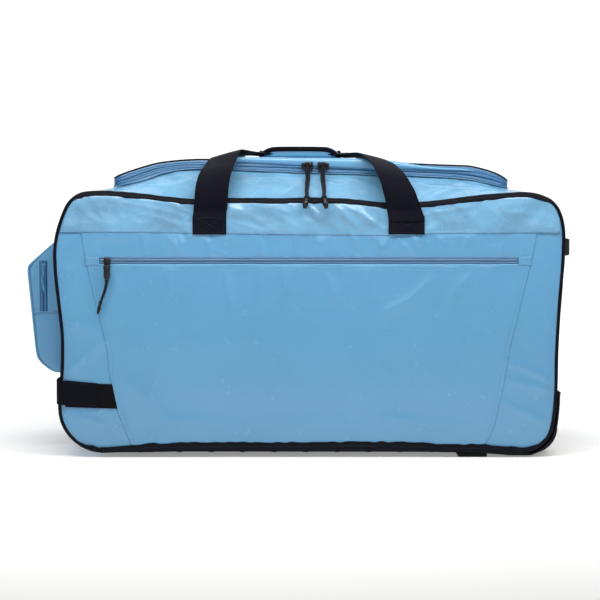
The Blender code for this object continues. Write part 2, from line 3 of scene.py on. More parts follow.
import bmesh
import bpy
import numpy as np
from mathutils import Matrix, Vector


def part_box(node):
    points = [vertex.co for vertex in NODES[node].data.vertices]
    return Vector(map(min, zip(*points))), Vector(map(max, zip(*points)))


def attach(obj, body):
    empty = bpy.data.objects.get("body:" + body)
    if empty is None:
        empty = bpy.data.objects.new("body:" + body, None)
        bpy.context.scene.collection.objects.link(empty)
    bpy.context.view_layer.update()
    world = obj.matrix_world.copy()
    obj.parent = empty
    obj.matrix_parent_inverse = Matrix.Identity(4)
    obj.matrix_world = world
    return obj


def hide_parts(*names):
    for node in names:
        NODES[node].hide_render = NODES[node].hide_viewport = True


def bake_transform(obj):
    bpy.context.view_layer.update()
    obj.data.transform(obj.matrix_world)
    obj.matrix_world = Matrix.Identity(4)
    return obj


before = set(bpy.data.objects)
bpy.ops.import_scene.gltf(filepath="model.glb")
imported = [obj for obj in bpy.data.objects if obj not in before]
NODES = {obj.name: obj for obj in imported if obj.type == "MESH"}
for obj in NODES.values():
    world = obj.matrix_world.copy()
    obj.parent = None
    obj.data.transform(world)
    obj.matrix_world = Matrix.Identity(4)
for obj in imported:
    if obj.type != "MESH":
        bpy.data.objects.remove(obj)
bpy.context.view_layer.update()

# Metres, +Z up. X runs along the bag, -Y is its front, and it stands on Z = 0.
MIDDLE_X = 0.01  # the middle of the shell along X
SHELL = "shell"
MAIN_ZIP_HALF = 0.2968  # the main zip: its half length, depth in front and behind, and corner radius
MAIN_ZIP_FRONT = 0.1325
MAIN_ZIP_REAR = 0.128
MAIN_ZIP_CORNER = 0.012
TAPE_FOOT, COIL_UP, LID_EDGE = -0.0042, 0.0071, 0.0145  # levels of the main zip, from the body up to the lid
PIPING_Y = 0.1773  # how far the piping of each face is from the middle plane
PIPING_RADIUS = 0.0029
HANDLE_X = 0.006  # the middle between the two legs of a handle
LEG_SPREAD = 0.148  # how far each leg is from it
TEETH = 1.9  # how far a coil's teeth turn from one of its points to the next, in radians
SIDES = ((-1, "front"), (1, "rear"))
STRAP_THICK = 0.0024  # webbing


# ---- small tools --------------------------------------------------------------------
TABLE = np.random.RandomState(11).rand(128, 128)  # what noise() is made from


def tenths(rows):
    """A table given in tenths of a millimetre, in metres."""
    return np.array(rows) / 1e4


def line_of(x, y, z):
    """Points from their coordinates, each one number or a row of them."""
    return np.stack(np.broadcast_arrays(x, y, z), -1)


def run_of(line):
    """How far along a line each of its points is."""
    return np.concatenate([[0], np.cumsum(np.linalg.norm(np.diff(line, axis=0), axis=1))])


def turns(count):
    """count angles evenly round a circle."""
    return np.linspace(0, 2 * math.pi, count, endpoint=False)


def ramp(low, high, x):
    """0 below low, 1 above high, smooth between them."""
    t = np.clip((np.asarray(x, float) - low) / (high - low), 0, 1)
    return t * t * (3 - 2 * t)


def noise(x, y, seed=0):
    """Smooth value noise from -1 to 1, one bump to a unit."""
    x, y = np.broadcast_arrays(np.asarray(x, float) + 13.7 * seed, np.asarray(y, float) + 7.3 * seed)
    i, j = np.floor(x).astype(int), np.floor(y).astype(int)
    u, v = ramp(0, 1, x - i), ramp(0, 1, y - j)
    i, j, k, m = i % 128, j % 128, (i + 1) % 128, (j + 1) % 128
    low = TABLE[i, j] * (1 - u) + TABLE[k, j] * u
    high = TABLE[i, m] * (1 - u) + TABLE[k, m] * u
    return 2 * (low * (1 - v) + high * v) - 1


def crease(x, y, seed=0):
    """Sharp connected ridges from 0 to 1, as in a sheet that has been crumpled."""
    first = 1 - np.abs(noise(x, y, seed))
    second = 1 - np.abs(noise(x * 2.1, y * 2.1, seed + 1))
    return (first**2.5 + 0.45 * second**2.5) / 1.45


def folds(x, z, lines):
    """Soft ridges in millimetres, each given as (x0, z0, x1, z1, half width, height)."""
    total = np.zeros(np.broadcast(x, z).shape)
    for x0, z0, x1, z1, wide, high in lines:
        run = Vector((x1 - x0, z1 - z0))
        along = ((x - x0) * run.x + (z - z0) * run.y) / run.length_squared
        aside = ((x - x0) * run.y - (z - z0) * run.x) / run.length
        aside = aside + 0.35 * wide * noise(along * 2.3, 0.5, int(abs(x0) * 1e4) % 50)
        crest = np.exp(-(np.sqrt(aside**2 + (0.3 * wide) ** 2) - 0.3 * wide) / (0.6 * wide))
        total += 1000 * high * crest * ramp(-0.3, 0.25, along) * (1 - ramp(0.7, 1.3, along))
    return total


def softened(points, blur):
    """A smooth function through (position, value) points."""
    at = np.linspace(points[0][0], points[-1][0], 800)
    value = np.interp(at, *zip(*points))
    reach = max(1, int(blur / (at[1] - at[0])))
    kernel = np.hanning(2 * reach + 3)
    kernel /= kernel.sum()
    value = np.convolve(np.pad(value, reach + 1, mode="reflect", reflect_type="odd"), kernel, "valid")
    return lambda q: np.interp(q, at, value)


def through(points, count, closed=False):
    """count points spread evenly along a smooth line through the given ones."""
    p = np.array(points, float)
    if closed:
        p = np.vstack([p[-1], p, p[0], p[1]])
    else:
        p = np.vstack([2 * p[0] - p[1], p, 2 * p[-1] - p[-2]])
    t = np.linspace(0, 1, 24, endpoint=False)[:, None]
    runs = []
    for a, b, c, d in zip(p[:-3], p[1:-2], p[2:-1], p[3:]):
        runs.append(0.5 * (2 * b + (c - a) * t + (2 * a - 5 * b + 4 * c - d) * t**2
                           + (3 * b - a - 3 * c + d) * t**3))
    fine = np.vstack(runs + [p[-2][None]])
    length = run_of(fine)
    at = np.linspace(0, length[-1], count, endpoint=not closed)
    return np.stack([np.interp(at, length, fine[:, k]) for k in range(p.shape[1])], 1)


def unit(v):
    return v / np.maximum(np.linalg.norm(v, axis=-1, keepdims=True), 1e-12)


def make(name, points, faces, material, body=SHELL, replaces=(), uv=None):
    """A piece from points and faces, which rides on a body of the part."""
    mesh = bpy.data.meshes.new(name)
    mesh.from_pydata([tuple(p) for p in points], [], [tuple(int(i) for i in f) for f in faces])
    mesh.polygons.foreach_set("use_smooth", [True] * len(mesh.polygons))
    piece = bpy.data.objects.new(name, mesh)
    bpy.context.scene.collection.objects.link(piece)
    mesh.materials.append(material)
    if uv is not None:
        layer = mesh.uv_layers.new(name="UVMap")
        corners = np.zeros(len(mesh.loops), int)
        mesh.loops.foreach_get("vertex_index", corners)
        layer.data.foreach_set("uv", np.asarray(uv, np.float32)[corners].ravel())
    if body:
        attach(piece, body)
    if replaces:
        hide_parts(*replaces)
    return piece


def quads(rows, columns, wrap=False):
    """Faces of a grid of points whose rows follow each other."""
    r, c = np.meshgrid(np.arange(rows - 1), np.arange(columns if wrap else columns - 1), indexing="ij")
    a, b = (r * columns + c).ravel(), (r * columns + (c + 1) % columns).ravel()
    return np.stack([a, b, b + columns, a + columns], 1)


def sheet_of(grid, thickness):
    """Points and faces of a grid (rows, columns, 3) with a second layer behind it and closed edges."""
    rows, columns = grid.shape[:2]
    normal = unit(np.cross(np.gradient(grid, axis=1), np.gradient(grid, axis=0)))
    points = np.vstack([grid.reshape(-1, 3), (grid - normal * thickness).reshape(-1, 3)])
    front = quads(rows, columns)
    count = rows * columns
    ring = np.concatenate([
        np.arange(columns),
        np.arange(1, rows) * columns + columns - 1,
        (rows - 1) * columns + np.arange(columns - 2, -1, -1),
        np.arange(rows - 2, 0, -1) * columns,
    ])
    after = np.roll(ring, -1)
    rim = np.stack([after, ring, ring + count, after + count], 1)
    return points, np.vstack([front, front[:, ::-1] + count, rim])


def tube_of(path, radius, sides=8, closed=False, flat=1.0, up=None):
    """Points and faces of a round or flattened tube along a path."""
    path = np.asarray(path, float)
    count = len(path)
    ahead = unit(np.roll(path, -1, 0) - np.roll(path, 1, 0)) if closed else unit(np.gradient(path, axis=0))
    if up is None:
        side = np.zeros_like(path)
        last = np.cross(ahead[0], (0, 0, 1) if abs(ahead[0][2]) < 0.9 else (0, 1, 0))
        for n in range(count):
            last = last - ahead[n] * np.dot(last, ahead[n])
            last = last / np.linalg.norm(last)
            side[n] = last
    else:
        side = unit(np.cross(ahead, np.broadcast_to(np.asarray(up, float), path.shape)))
    over = np.cross(side, ahead)
    radius = np.broadcast_to(np.asarray(radius, float), (count,))[:, None]
    turn = turns(sides)
    rings = [path + side * radius * math.cos(a) + over * radius * flat * math.sin(a) for a in turn]
    points = np.stack(rings, 1).reshape(-1, 3)
    faces = quads(count, sides, wrap=True)
    a, last = np.arange(sides), (count - 1) * sides
    if closed:
        join = np.stack([last + a, last + (a + 1) % sides, (a + 1) % sides, a], 1)
        return points, np.vstack([faces, join])[:, ::-1]
    points = np.vstack([points, path[0], path[-1]])
    tip, end = count * sides, count * sides + 1
    caps = [(tip, (k + 1) % sides, k) for k in a] + [(end, last + k, last + (k + 1) % sides) for k in a]
    return points, [tuple(f[::-1]) for f in faces] + [c[::-1] for c in caps]


def rounded(rows, count):
    """A grid whose columns are smooth lines of count points through the given rows."""
    return np.stack([through(column, count) for column in np.stack(rows, 1)], 1)


def joined(parts):
    """Several (points, faces) as one."""
    points, faces, start = [], [], 0
    for p, f in parts:
        points.append(np.asarray(p, float))
        faces += [tuple(int(i) + start for i in face) for face in f]
        start += len(p)
    return np.vstack(points), faces


def bevelled(form, edges, bevel, segments):
    """Points and faces of a form after some of its edges are rounded."""
    bmesh.ops.bevel(form, geom=edges, offset=bevel, segments=segments, affect="EDGES", profile=0.5)
    form.verts.index_update()
    result = [tuple(v.co) for v in form.verts], [tuple(v.index for v in f.verts) for f in form.faces]
    form.free()
    return result


def box_of(low, high, bevel, segments=2):
    """Points and faces of a box with rounded edges."""
    form = bmesh.new()
    bmesh.ops.create_cube(form, size=1)
    low, high = Vector(low), Vector(high)
    bmesh.ops.scale(form, vec=high - low, verts=form.verts)
    bmesh.ops.translate(form, vec=(low + high) / 2, verts=form.verts)
    return bevelled(form, form.edges[:], bevel, segments)


def stitches(line, normals, length=0.0026, gap=0.0012, radius=0.00035):
    """A row of short raised threads that follow a line lying on a surface."""
    line = np.asarray(line, float)
    run = run_of(line)
    normals = np.broadcast_to(np.asarray(normals, float), line.shape)
    count = max(1, int(run[-1] / (length + gap)))
    parts = []
    for n in range(count):
        at = (n + np.array([0.06, 0.3, 0.7, 0.94]) * length / (length + gap)) * run[-1] / count
        p = np.stack([np.interp(at, run, line[:, k]) for k in range(3)], 1)
        m = unit(np.stack([np.interp(at, run, normals[:, k]) for k in range(3)], 1))
        lift = np.array([-0.6, 0.5, 0.5, -0.6])[:, None] * radius
        thick = radius * np.array([0.6, 1.0, 1.0, 0.6])
        parts.append(tube_of(p + m * lift, thick, 5))
    return joined(parts)


def grown(name, points, faces, material, **where):
    """A piece whose mesh gets its normals made consistent."""
    piece = make(name, points, faces, material, **where)
    form = bmesh.new()
    form.from_mesh(piece.data)
    bmesh.ops.recalc_face_normals(form, faces=form.faces)
    form.to_mesh(piece.data)
    form.free()
    return piece


def rod(name, path, radius, sides, material, closed=False, **where):
    """A piece that is one round tube along a path."""
    return grown(name, *tube_of(path, radius, sides, closed), material, **where)


def sewn(name, line, normals, thread=None, **where):
    """A piece that is one row of stitching."""
    return grown(name, *stitches(line, normals), thread or THREAD, **where)


# ---- materials ----------------------------------------------------------------------
class Graph:
    """The node tree of one material, with short ways to add what most of them need."""

    def __init__(self, name, slot, use_uv=False):
        self.material = bpy.data.materials.new(name)
        self.material.use_nodes = True
        self.material["slot"] = slot
        self.tree = self.material.node_tree
        self.shader = self.tree.nodes["Principled BSDF"]
        where = self.tree.nodes.new("ShaderNodeTexCoord")
        self.place = where.outputs["UV" if use_uv else "Object"]
        self.relief = None

    def link(self, a, b):
        self.tree.links.new(a, b)

    def set(self, **values):
        for key, value in values.items():
            self.shader.inputs[key.replace("_", " ")].default_value = value

    def node(self, kind, place=None, **values):
        """A new node with the values of its inputs, which reads a place in the texture."""
        node = self.tree.nodes.new("ShaderNode" + kind)
        for key, value in values.items():
            node.inputs[key.replace("_", " ")].default_value = value
        if place:
            self.link(place, node.inputs["Vector"])
        return node

    def scaled(self, scale, turn=(0, 0, 0)):
        return self.node("Mapping", self.place, Scale=scale, Rotation=turn).outputs["Vector"]

    def noise(self, scale, detail=3.0, rough=0.55, stretch=None):
        place = self.scaled(stretch) if stretch else self.place
        return self.node("TexNoise", place, Scale=scale, Detail=detail, Roughness=rough).outputs[0]

    def wave(self, scale, direction="X", turn=(0, 0, 0)):
        node = self.node("TexWave", self.scaled((1, 1, 1), turn), Scale=scale)
        node.bands_direction = direction
        return node.outputs["Fac"]

    def math(self, operation, a, b):
        node = self.node("Math")
        node.operation = operation
        for socket, value in zip(node.inputs, (a, b)):
            if hasattr(value, "default_value"):
                self.link(value, socket)
            else:
                socket.default_value = value
        return node.outputs[0]

    def sum(self, a, share, b, other_share):
        """Two values added in shares."""
        return self.math("ADD", self.math("MULTIPLY", a, share), self.math("MULTIPLY", b, other_share))

    def ramp(self, value, stops):
        node = self.tree.nodes.new("ShaderNodeValToRGB")
        ends = node.color_ramp.elements
        for element, (at, colour) in zip(ends, (stops[0], stops[-1])):
            element.position = at
            element.color = (*colour, 1)
        for at, colour in stops[1:-1]:
            ends.new(at).color = (*colour, 1)
        self.link(value, node.inputs["Fac"])
        return node.outputs["Color"]

    def span(self, value, low, high):
        node = self.node("MapRange", To_Min=low, To_Max=high)
        self.link(value, node.inputs["Value"])
        return node.outputs[0]

    def colour(self, value):
        self.link(value, self.shader.inputs["Base Color"])

    def rough(self, value, low, high):
        self.link(self.span(value, low, high), self.shader.inputs["Roughness"])

    def bump(self, height, distance, strength=1.0):
        """Adds relief to what the material has already."""
        node = self.node("Bump", Strength=strength, Distance=distance)
        self.link(height, node.inputs["Height"])
        if self.relief:
            self.link(self.relief, node.inputs["Normal"])
        self.relief = node.outputs["Normal"]
        self.link(self.relief, self.shader.inputs["Normal"])


def tinted(base, factor):
    return tuple(min(1.0, c * factor) for c in base)


def coated_cloth(name, base, slot, shine=0.3, crumple=0.0006, gloss=0.5, coat=0.35, sheen_patches=0.0):
    """PVC-coated cloth: a plain weave under a glossy skin, with fine handling creases."""
    g = Graph(name, slot)
    g.set(Specular_IOR_Level=gloss, Coat_Weight=coat, Coat_Roughness=0.19)
    # With sheen_patches set, the tone follows broad stretched noise and spans a wider range: painted patches
    # of sheen on top of the random tone.
    broad = g.noise(21.0, 2.5, 0.5, stretch=(0.8, 1.0, 1.2)) if sheen_patches else g.noise(5.0, 4.0)
    tone = g.sum(broad, 0.8, g.noise(90.0), 0.2)
    dark, light = tinted(base, 0.965 - sheen_patches), tinted(base, 1.03 + sheen_patches)
    g.colour(g.ramp(tone, [(0.34, dark), (0.5, base), (0.68, light)]))
    g.rough(g.noise(38.0, 4.0), shine - 0.04, shine + 0.06)
    g.bump(g.noise(24.0, 3.0, 0.5), crumple, 0.22)
    g.bump(g.noise(120.0), 0.0002, 0.35)
    weave = g.math("MULTIPLY", g.wave(420.0, "X"), g.math("MAXIMUM", g.wave(420.0, "Z"), g.wave(420.0, "Y")))
    g.bump(weave, 0.00008, 0.5)
    return g.material


def woven(name, base, slot, pitch=0.0013, rough=0.55, shine=0.06):
    """Heavy webbing from its own UV map in metres: ribs along it, weft bars across."""
    g = Graph(name, slot, use_uv=True)
    g.set(Specular_IOR_Level=shine, Sheen_Weight=0.0)
    k = 0.5 / pitch / 3.14159
    twill = g.wave(k * 1.8, "X", turn=(0, 0, 0.9))
    cloth = g.sum(g.math("MULTIPLY", g.wave(k * 1.6, "Y"), g.wave(k * 2.4, "X")), 1.0, twill, 0.7)
    tone = g.sum(cloth, 0.35, g.noise(18.0, 4.0), 0.65)
    g.colour(g.ramp(tone, [(0.2, tinted(base, 0.62)), (0.5, base), (0.85, tinted(base, 1.55))]))
    g.rough(g.noise(600.0, 2.0), rough - 0.1, rough + 0.12)
    g.bump(cloth, 0.0003, 0.8)
    g.bump(g.noise(45.0, 3.0), 0.0009, 0.35)
    return g.material


def grained(name, base, slot, rough=0.45, grain=700.0, depth=0.00012, wear=1.9, metal=0.0, gloss=0.5):
    """Moulded plastic, rubber, paint or metal with a fine skin texture and handling marks."""
    g = Graph(name, slot)
    g.set(Specular_IOR_Level=gloss, Metallic=metal)
    marks = g.sum(g.noise(28.0, 5.0, 0.65), 0.6, g.noise(260.0), 0.4)
    g.colour(g.ramp(marks, [(0.3, tinted(base, 0.75)), (0.55, base), (0.8, tinted(base, wear))]))
    g.rough(marks, rough - 0.12, rough + 0.16)
    g.bump(g.noise(grain, 2.0), depth, 0.6)
    g.bump(g.noise(40.0, 3.0), depth * 4, 0.12)
    return g.material


def brushed(name, base, slot, rough=0.24):
    """Drawn aluminium or steel, with fine lines along X."""
    g = Graph(name, slot)
    g.set(Metallic=1.0, Specular_IOR_Level=0.5)
    lines = g.noise(60.0, 4.0, 0.6, stretch=(1.0, 40.0, 40.0))
    g.colour(g.ramp(lines, [(0.3, tinted(base, 0.82)), (0.7, tinted(base, 1.08))]))
    g.rough(lines, rough - 0.06, rough + 0.14)
    g.bump(lines, 0.00006, 0.4)
    return g.material


def braided(name, base, slot, pitch=0.0011):
    """Round cord with a braided cover."""
    g = Graph(name, slot)
    g.set(Specular_IOR_Level=0.16, Sheen_Weight=0.0)
    k = 1 / pitch / 6.283
    braid = g.math("MAXIMUM", g.wave(k * 2, "DIAGONAL"), g.wave(k * 2, "X", turn=(0, 0.8, 0.6)))
    tone = g.sum(braid, 0.6, g.noise(300.0), 0.4)
    g.colour(g.ramp(tone, [(0.25, tinted(base, 0.6)), (0.8, tinted(base, 1.7))]))
    g.rough(g.noise(400.0), 0.42, 0.66)
    g.bump(braid, 0.0003, 0.9)
    return g.material


BLUE = (0.096, 0.286, 0.496)
CLOTH = coated_cloth("coated_blue", BLUE, "tarpaulin", 0.25)
# A lighter copy of the blue with painted sheen patches, for the yoke and the strip round the lid: painted
# light from above on these upper parts.
BLUE_CREASED_PAINTED_SHEEN = (0.128, 0.31, 0.495)
CLOTH_CREASED_PAINTED_SHEEN = coated_cloth("coated_blue_creased_painted_sheen", BLUE_CREASED_PAINTED_SHEEN, "tarpaulin", 0.27, 0.001, 0.45, 0.28, 0.1)
CLOTH_SHEET = coated_cloth("coated_blue_flat", tinted(BLUE, 0.97), "tarpaulin", 0.33, 0.0006)
CLOTH_BACK = coated_cloth("coated_blue_hem", tinted(BLUE, 0.93), "tarpaulin", 0.34, 0.0005)
TAPE = coated_cloth("coated_zip_tape", (0.034, 0.142, 0.305), "zip_tape", 0.32, 0.0003)
# Dark blue for the bands behind the coils: partly the real gap between the tapes, partly painted shade in it.
TAPE_GAP_SHADE = coated_cloth("zip_gap_painted_shade", (0.014, 0.058, 0.13), "zip_tape", 0.45, 0.0002)
COIL = grained("zip_coil", (0.018, 0.062, 0.13), "zip_tape", 0.38, 900.0, 0.00005, 1.4)
THREAD = grained("thread_blue", (0.15, 0.385, 0.6), "tarpaulin", 0.55, 1500.0, 0.00005, 1.3)
THREAD_BLACK = grained("thread_black", (0.018, 0.018, 0.028), "webbing", 0.6, 1500.0, 0.00005, 1.5, gloss=0.2)
PIPING = coated_cloth("piping_black", (0.0025, 0.0034, 0.008), "piping", 0.46, 0.0002, 0.1, 0.0)
WEBBING = woven("webbing_charcoal", (0.0036, 0.0038, 0.0088), "webbing")
WEBBING_BLACK = woven("webbing_black", (0.004, 0.0043, 0.0085), "webbing", 0.0011, 0.6, 0.05)
HOOK = grained("hook_patch", (0.0045, 0.0045, 0.006), "webbing", 0.85, 520.0, 0.0009, 1.6, gloss=0.08)
MOULDED = grained("moulded_black", (0.0055, 0.0058, 0.008), "moulding", 0.46, gloss=0.22)
SATIN = grained("moulded_satin", (0.011, 0.0113, 0.014), "moulding", 0.34, 900.0, 0.00005, 2.2, gloss=0.35)
RUBBER = grained("tyre_rubber", (0.009, 0.009, 0.01), "tyre", 0.78, 420.0, 0.0002, 1.5, gloss=0.12)
BOARD = grained("board_plastic", (0.045, 0.046, 0.05), "base_board", 0.6, 300.0, 0.0002, 1.3)
GUNMETAL = grained("gunmetal", (0.013, 0.012, 0.015), "slider_metal", 0.27, 800.0, 0.00003, 2.4, 0.35)
GLINT = grained("moulded_tip", (0.016, 0.014, 0.015), "slider_metal", 0.26, 800.0, 0.00004, 2.4, 0.55)
STEEL = brushed("steel_drawn", (0.46, 0.46, 0.47), "axle_steel")
ALUMINIUM = brushed("aluminium_drawn", (0.66, 0.67, 0.69), "tube")
CORD = braided("cord_black", (0.0042, 0.0046, 0.0078), "pull_cord")
CORD_BLUE = braided("cord_blue", (0.06, 0.19, 0.36), "pull_cord")
COATED_METAL = grained("slider_blue", (0.055, 0.19, 0.37), "slider_metal", 0.3, 800.0, 0.00003, 1.4)
FLOOR = Graph("floor_paper", "tarpaulin").material


# ---- the outline of both faces ------------------------------------------------------
# (x, z) along the middle of the piping, anticlockwise seen from the front.
OUTLINE = tenths([
    (-3005, 98), (-2570, 130), (-2015, 158), (-300, 172), (1435, 176), (2260, 140), (2665, 138),
    (3050, 104), (3300, 94), (3462, 135), (3590, 222), (3704, 370), (3762, 664), (3788, 1050),
    (3793, 1532), (3818, 2110), (3857, 2680), (3875, 2937), (3884, 3240), (3877, 3445), (3844, 3612),
    (3779, 3760), (3674, 3868), (3490, 3945), (3295, 3972), (2995, 3955), (2595, 3925), (2000, 3848),
    (1500, 3812), (1225, 3810), (750, 3862), (235, 3887), (-365, 3880), (-1115, 3882), (-1685, 3868),
    (-2315, 3935), (-2810, 3982), (-3050, 3994), (-3245, 3984), (-3400, 3935), (-3512, 3842),
    (-3592, 3700), (-3664, 3505), (-3713, 3320), (-3738, 3130), (-3738, 2930), (-3722, 2680),
    (-3668, 2175), (-3636, 1840), (-3636, 1470), (-3650, 1223), (-3676, 950), (-3684, 780), (-3672, 637),
    (-3632, 495), (-3545, 350), (-3405, 215), (-3225, 125),
])
RIM = through(OUTLINE, 1000, closed=True)
LEFT_DIAGONAL = tenths([
    (150, -2570), (224, -2608), (747, -2819), (1133, -2900), (1269, -2930), (1674, -2969), (2074, -3059),
    (2636, -3211), (3035, -3293), (3420, -3350),
])
RIGHT_DIAGONAL = tenths([
    (120, 2620), (170, 2679), (304, 2775), (517, 2870), (899, 2947), (1186, 3013), (1722, 3100),
    (2011, 3175), (2681, 3339), (2973, 3415), (3420, 3492),
])
YOKE = tenths([
    (-3745, 3400), (-2315, 3387), (-365, 3360), (1225, 3343), (1825, 3372), (2785, 3373), (3460, 3388),
    (3920, 3390),
])
left_seam = softened(LEFT_DIAGONAL, 0.012)
right_seam = softened(RIGHT_DIAGONAL, 0.012)
yoke_height = softened(YOKE, 0.03)


def nearest(x, z):
    return int(np.argmin((RIM[:, 0] - x) ** 2 + (RIM[:, 1] - z) ** 2))


def rim_run(start, end, count):
    """Points along the outline from near one point on to near another, anticlockwise."""
    a, b = nearest(*start), nearest(*end)
    b += len(RIM) if b <= a else 0
    run = RIM[np.arange(a, b + 1) % len(RIM)]
    at = np.linspace(0, len(run) - 1, count)
    return np.stack([np.interp(at, np.arange(len(run)), run[:, k]) for k in range(2)], 1)


BASE_LEFT, BASE_RIGHT = (-0.35, 0.029), (0.365, 0.0295)
TOP_RIGHT, TOP_LEFT = (0.3725, 0.383), (-0.352, 0.383)
low_run = rim_run(BASE_LEFT, BASE_RIGHT, 400)
top_run = rim_run(TOP_RIGHT, TOP_LEFT, 400)[::-1]
rim_low = lambda x: np.interp(x, low_run[:, 0], low_run[:, 1])
rim_top = lambda x: np.interp(x, top_run[:, 0], top_run[:, 1])

FIELD_X, FIELD_Z = np.linspace(-0.4, 0.42, 329), np.linspace(-0.01, 0.42, 173)
FIELD = np.zeros((len(FIELD_X), len(FIELD_Z)))
for row, height in enumerate(FIELD_Z):
    gap = (FIELD_X[:, None] - RIM[None, :, 0]) ** 2 + (height - RIM[None, :, 1]) ** 2
    FIELD[:, row] = np.sqrt(gap.min(1))


def edge_distance(x, z):
    """How far a point of a face is from the outline."""
    i = np.clip((x - FIELD_X[0]) / (FIELD_X[1] - FIELD_X[0]), 0, len(FIELD_X) - 1.001)
    j = np.clip((z - FIELD_Z[0]) / (FIELD_Z[1] - FIELD_Z[0]), 0, len(FIELD_Z) - 1.001)
    a, b = i.astype(int), j.astype(int)
    u, v = i - a, j - b
    low = FIELD[a, b] * (1 - u) + FIELD[a + 1, b] * u
    high = FIELD[a, b + 1] * (1 - u) + FIELD[a + 1, b + 1] * u
    return low * (1 - v) + high * v


# Creases of the front cloth, most of them in its upper part: (x0, z0, x1, z1, half width, height).
FRONT_FOLDS = tenths([
    (-2850, 3860, -1800, 3620, 60, 14), (-2620, 3720, -1760, 3500, 50, 11),
    (-2150, 3920, -1720, 3680, 40, 13), (-2050, 3560, -1780, 3420, 45, 12),
    (-3450, 3800, -3000, 3460, 80, 10), (-3180, 3940, -2960, 3520, 70, 9),
    (-1180, 3840, -1000, 3620, 42, 15), (-1120, 3800, -600, 3520, 60, 14),
    (-1040, 3540, -660, 3440, 42, 10), (-900, 3860, -200, 3680, 60, 12),
    (-600, 3760, -120, 3460, 60, 13), (-220, 3840, 120, 3500, 42, 17), (0, 3860, 280, 3520, 40, 19),
    (120, 3720, 520, 3440, 50, 15), (460, 3800, 820, 3460, 46, 17), (600, 3820, 1060, 3500, 42, 19),
    (780, 3760, 1160, 3440, 42, 16), (980, 3840, 1240, 3660, 40, 12), (1900, 3760, 2140, 3540, 50, 14),
    (1860, 3660, 2500, 3780, 50, 12), (1960, 3840, 2380, 3440, 70, 14), (2220, 3880, 2620, 3500, 75, 13),
    (2680, 3940, 2920, 3520, 75, 14), (2880, 3860, 3260, 3520, 70, 11), (3300, 3900, 3500, 3520, 70, 9),
    (3000, 3700, 3600, 3620, 60, 7), (-2050, 3360, -1860, 3060, 40, 13),
    (-1880, 3340, -1760, 3080, 40, 10), (-2420, 3340, -2360, 3060, 60, 8),
    (-1500, 3340, -1400, 3060, 50, 9), (-1200, 3300, -1280, 3040, 50, 8),
    (-700, 3320, -620, 3040, 60, 8), (-140, 3340, -100, 3040, 45, 12), (240, 3300, 160, 3040, 55, 7),
    (700, 3340, 900, 3060, 45, 11), (1040, 3340, 1240, 3100, 40, 13), (1280, 3320, 1120, 3080, 40, 12),
    (1420, 3300, 1580, 3060, 42, 12), (1680, 3320, 1600, 3060, 50, 9), (2000, 3340, 2060, 3040, 55, 9),
    (2440, 3300, 2360, 3060, 55, 7), (2900, 3340, 2960, 3020, 60, 6), (-1180, 2820, -1040, 2050, 70, 10),
    (-620, 2840, -700, 2220, 80, 9), (-300, 2840, -280, 2140, 65, 11), (300, 2820, 460, 2360, 70, 10),
    (620, 2840, 520, 2320, 70, 10), (980, 2800, 920, 2360, 70, 8), (1900, 2620, 1100, 2140, 130, 13),
    (2460, 2740, 2140, 2360, 110, 10), (-2000, 2840, -2140, 2260, 90, 7),
    (-2860, 2760, -2700, 2240, 90, 6), (3020, 1460, 3720, 1180, 50, 10), (3060, 1180, 3740, 1000, 80, 6),
    (2960, 860, 3660, 480, 120, 8), (2400, 460, 1200, 620, 110, 8), (-3520, 2060, -2960, 1700, 90, 7),
    (-3540, 1320, -3060, 1760, 100, 8), (-3560, 660, -3000, 500, 80, 6), (-2400, 580, -800, 420, 130, 8),
    (-600, 500, 1100, 460, 120, 7), (-2620, 1100, -2000, 600, 140, 6),
])
SAG = softened(
    [(0.0, 0.0), (0.02, 0.8), (0.05, 2.8), (0.11, 4.6), (0.17, 4.2), (0.23, 2.4), (0.28, 0.7), (0.3, 0.3),
     (0.34, 0.6), (0.37, 0.2), (0.42, 0.0)], 0.02)


def front_relief(x, z):
    """How far the front cloth stands in front of the piping's middle, in metres."""
    side = np.clip(1 - np.abs((x - MIDDLE_X) / 0.378) ** 5, 0, 1)
    body = SAG(z) * side
    high = ramp(0.3, 0.345, z)
    waves = (2.7 * crease(x * 21 + z * 9, z * 30 - x * 6, 3) - 1.0) * high
    waves += 1.7 * noise(x * 36 + 0.7 * noise(x * 15, z * 17, 4), z * 44, 6) * high
    waves += 0.45 * noise(x * 70, z * 66, 5) * high
    drape = np.exp(-(((z - 0.282) / 0.045) ** 2)) * (z < 0.3)
    waves += 1.15 * noise(x * 34 + 0.6 * noise(x * 9, z * 12, 8), z * 7, 7) * drape
    gathers = noise(x * 46 + 0.8 * noise(x * 20, z * 30, 10), z * 9, 9)
    waves += gathers * ramp(0.3, 0.312, z) * (1 - high)
    waves += 0.5 * noise(x * 8 + z * 5, z * 9, 12) + 0.22 * noise(x * 20 - z * 12, z * 21, 13)
    calm = 1 - 0.94 * np.exp(-(((z - 0.2955) / 0.0085) ** 2))
    body = body + (waves + 1.7 * folds(x, z, FRONT_FOLDS)) * calm
    return 0.0012 + 0.001 * body * ramp(0.0, 0.016, edge_distance(x, z))


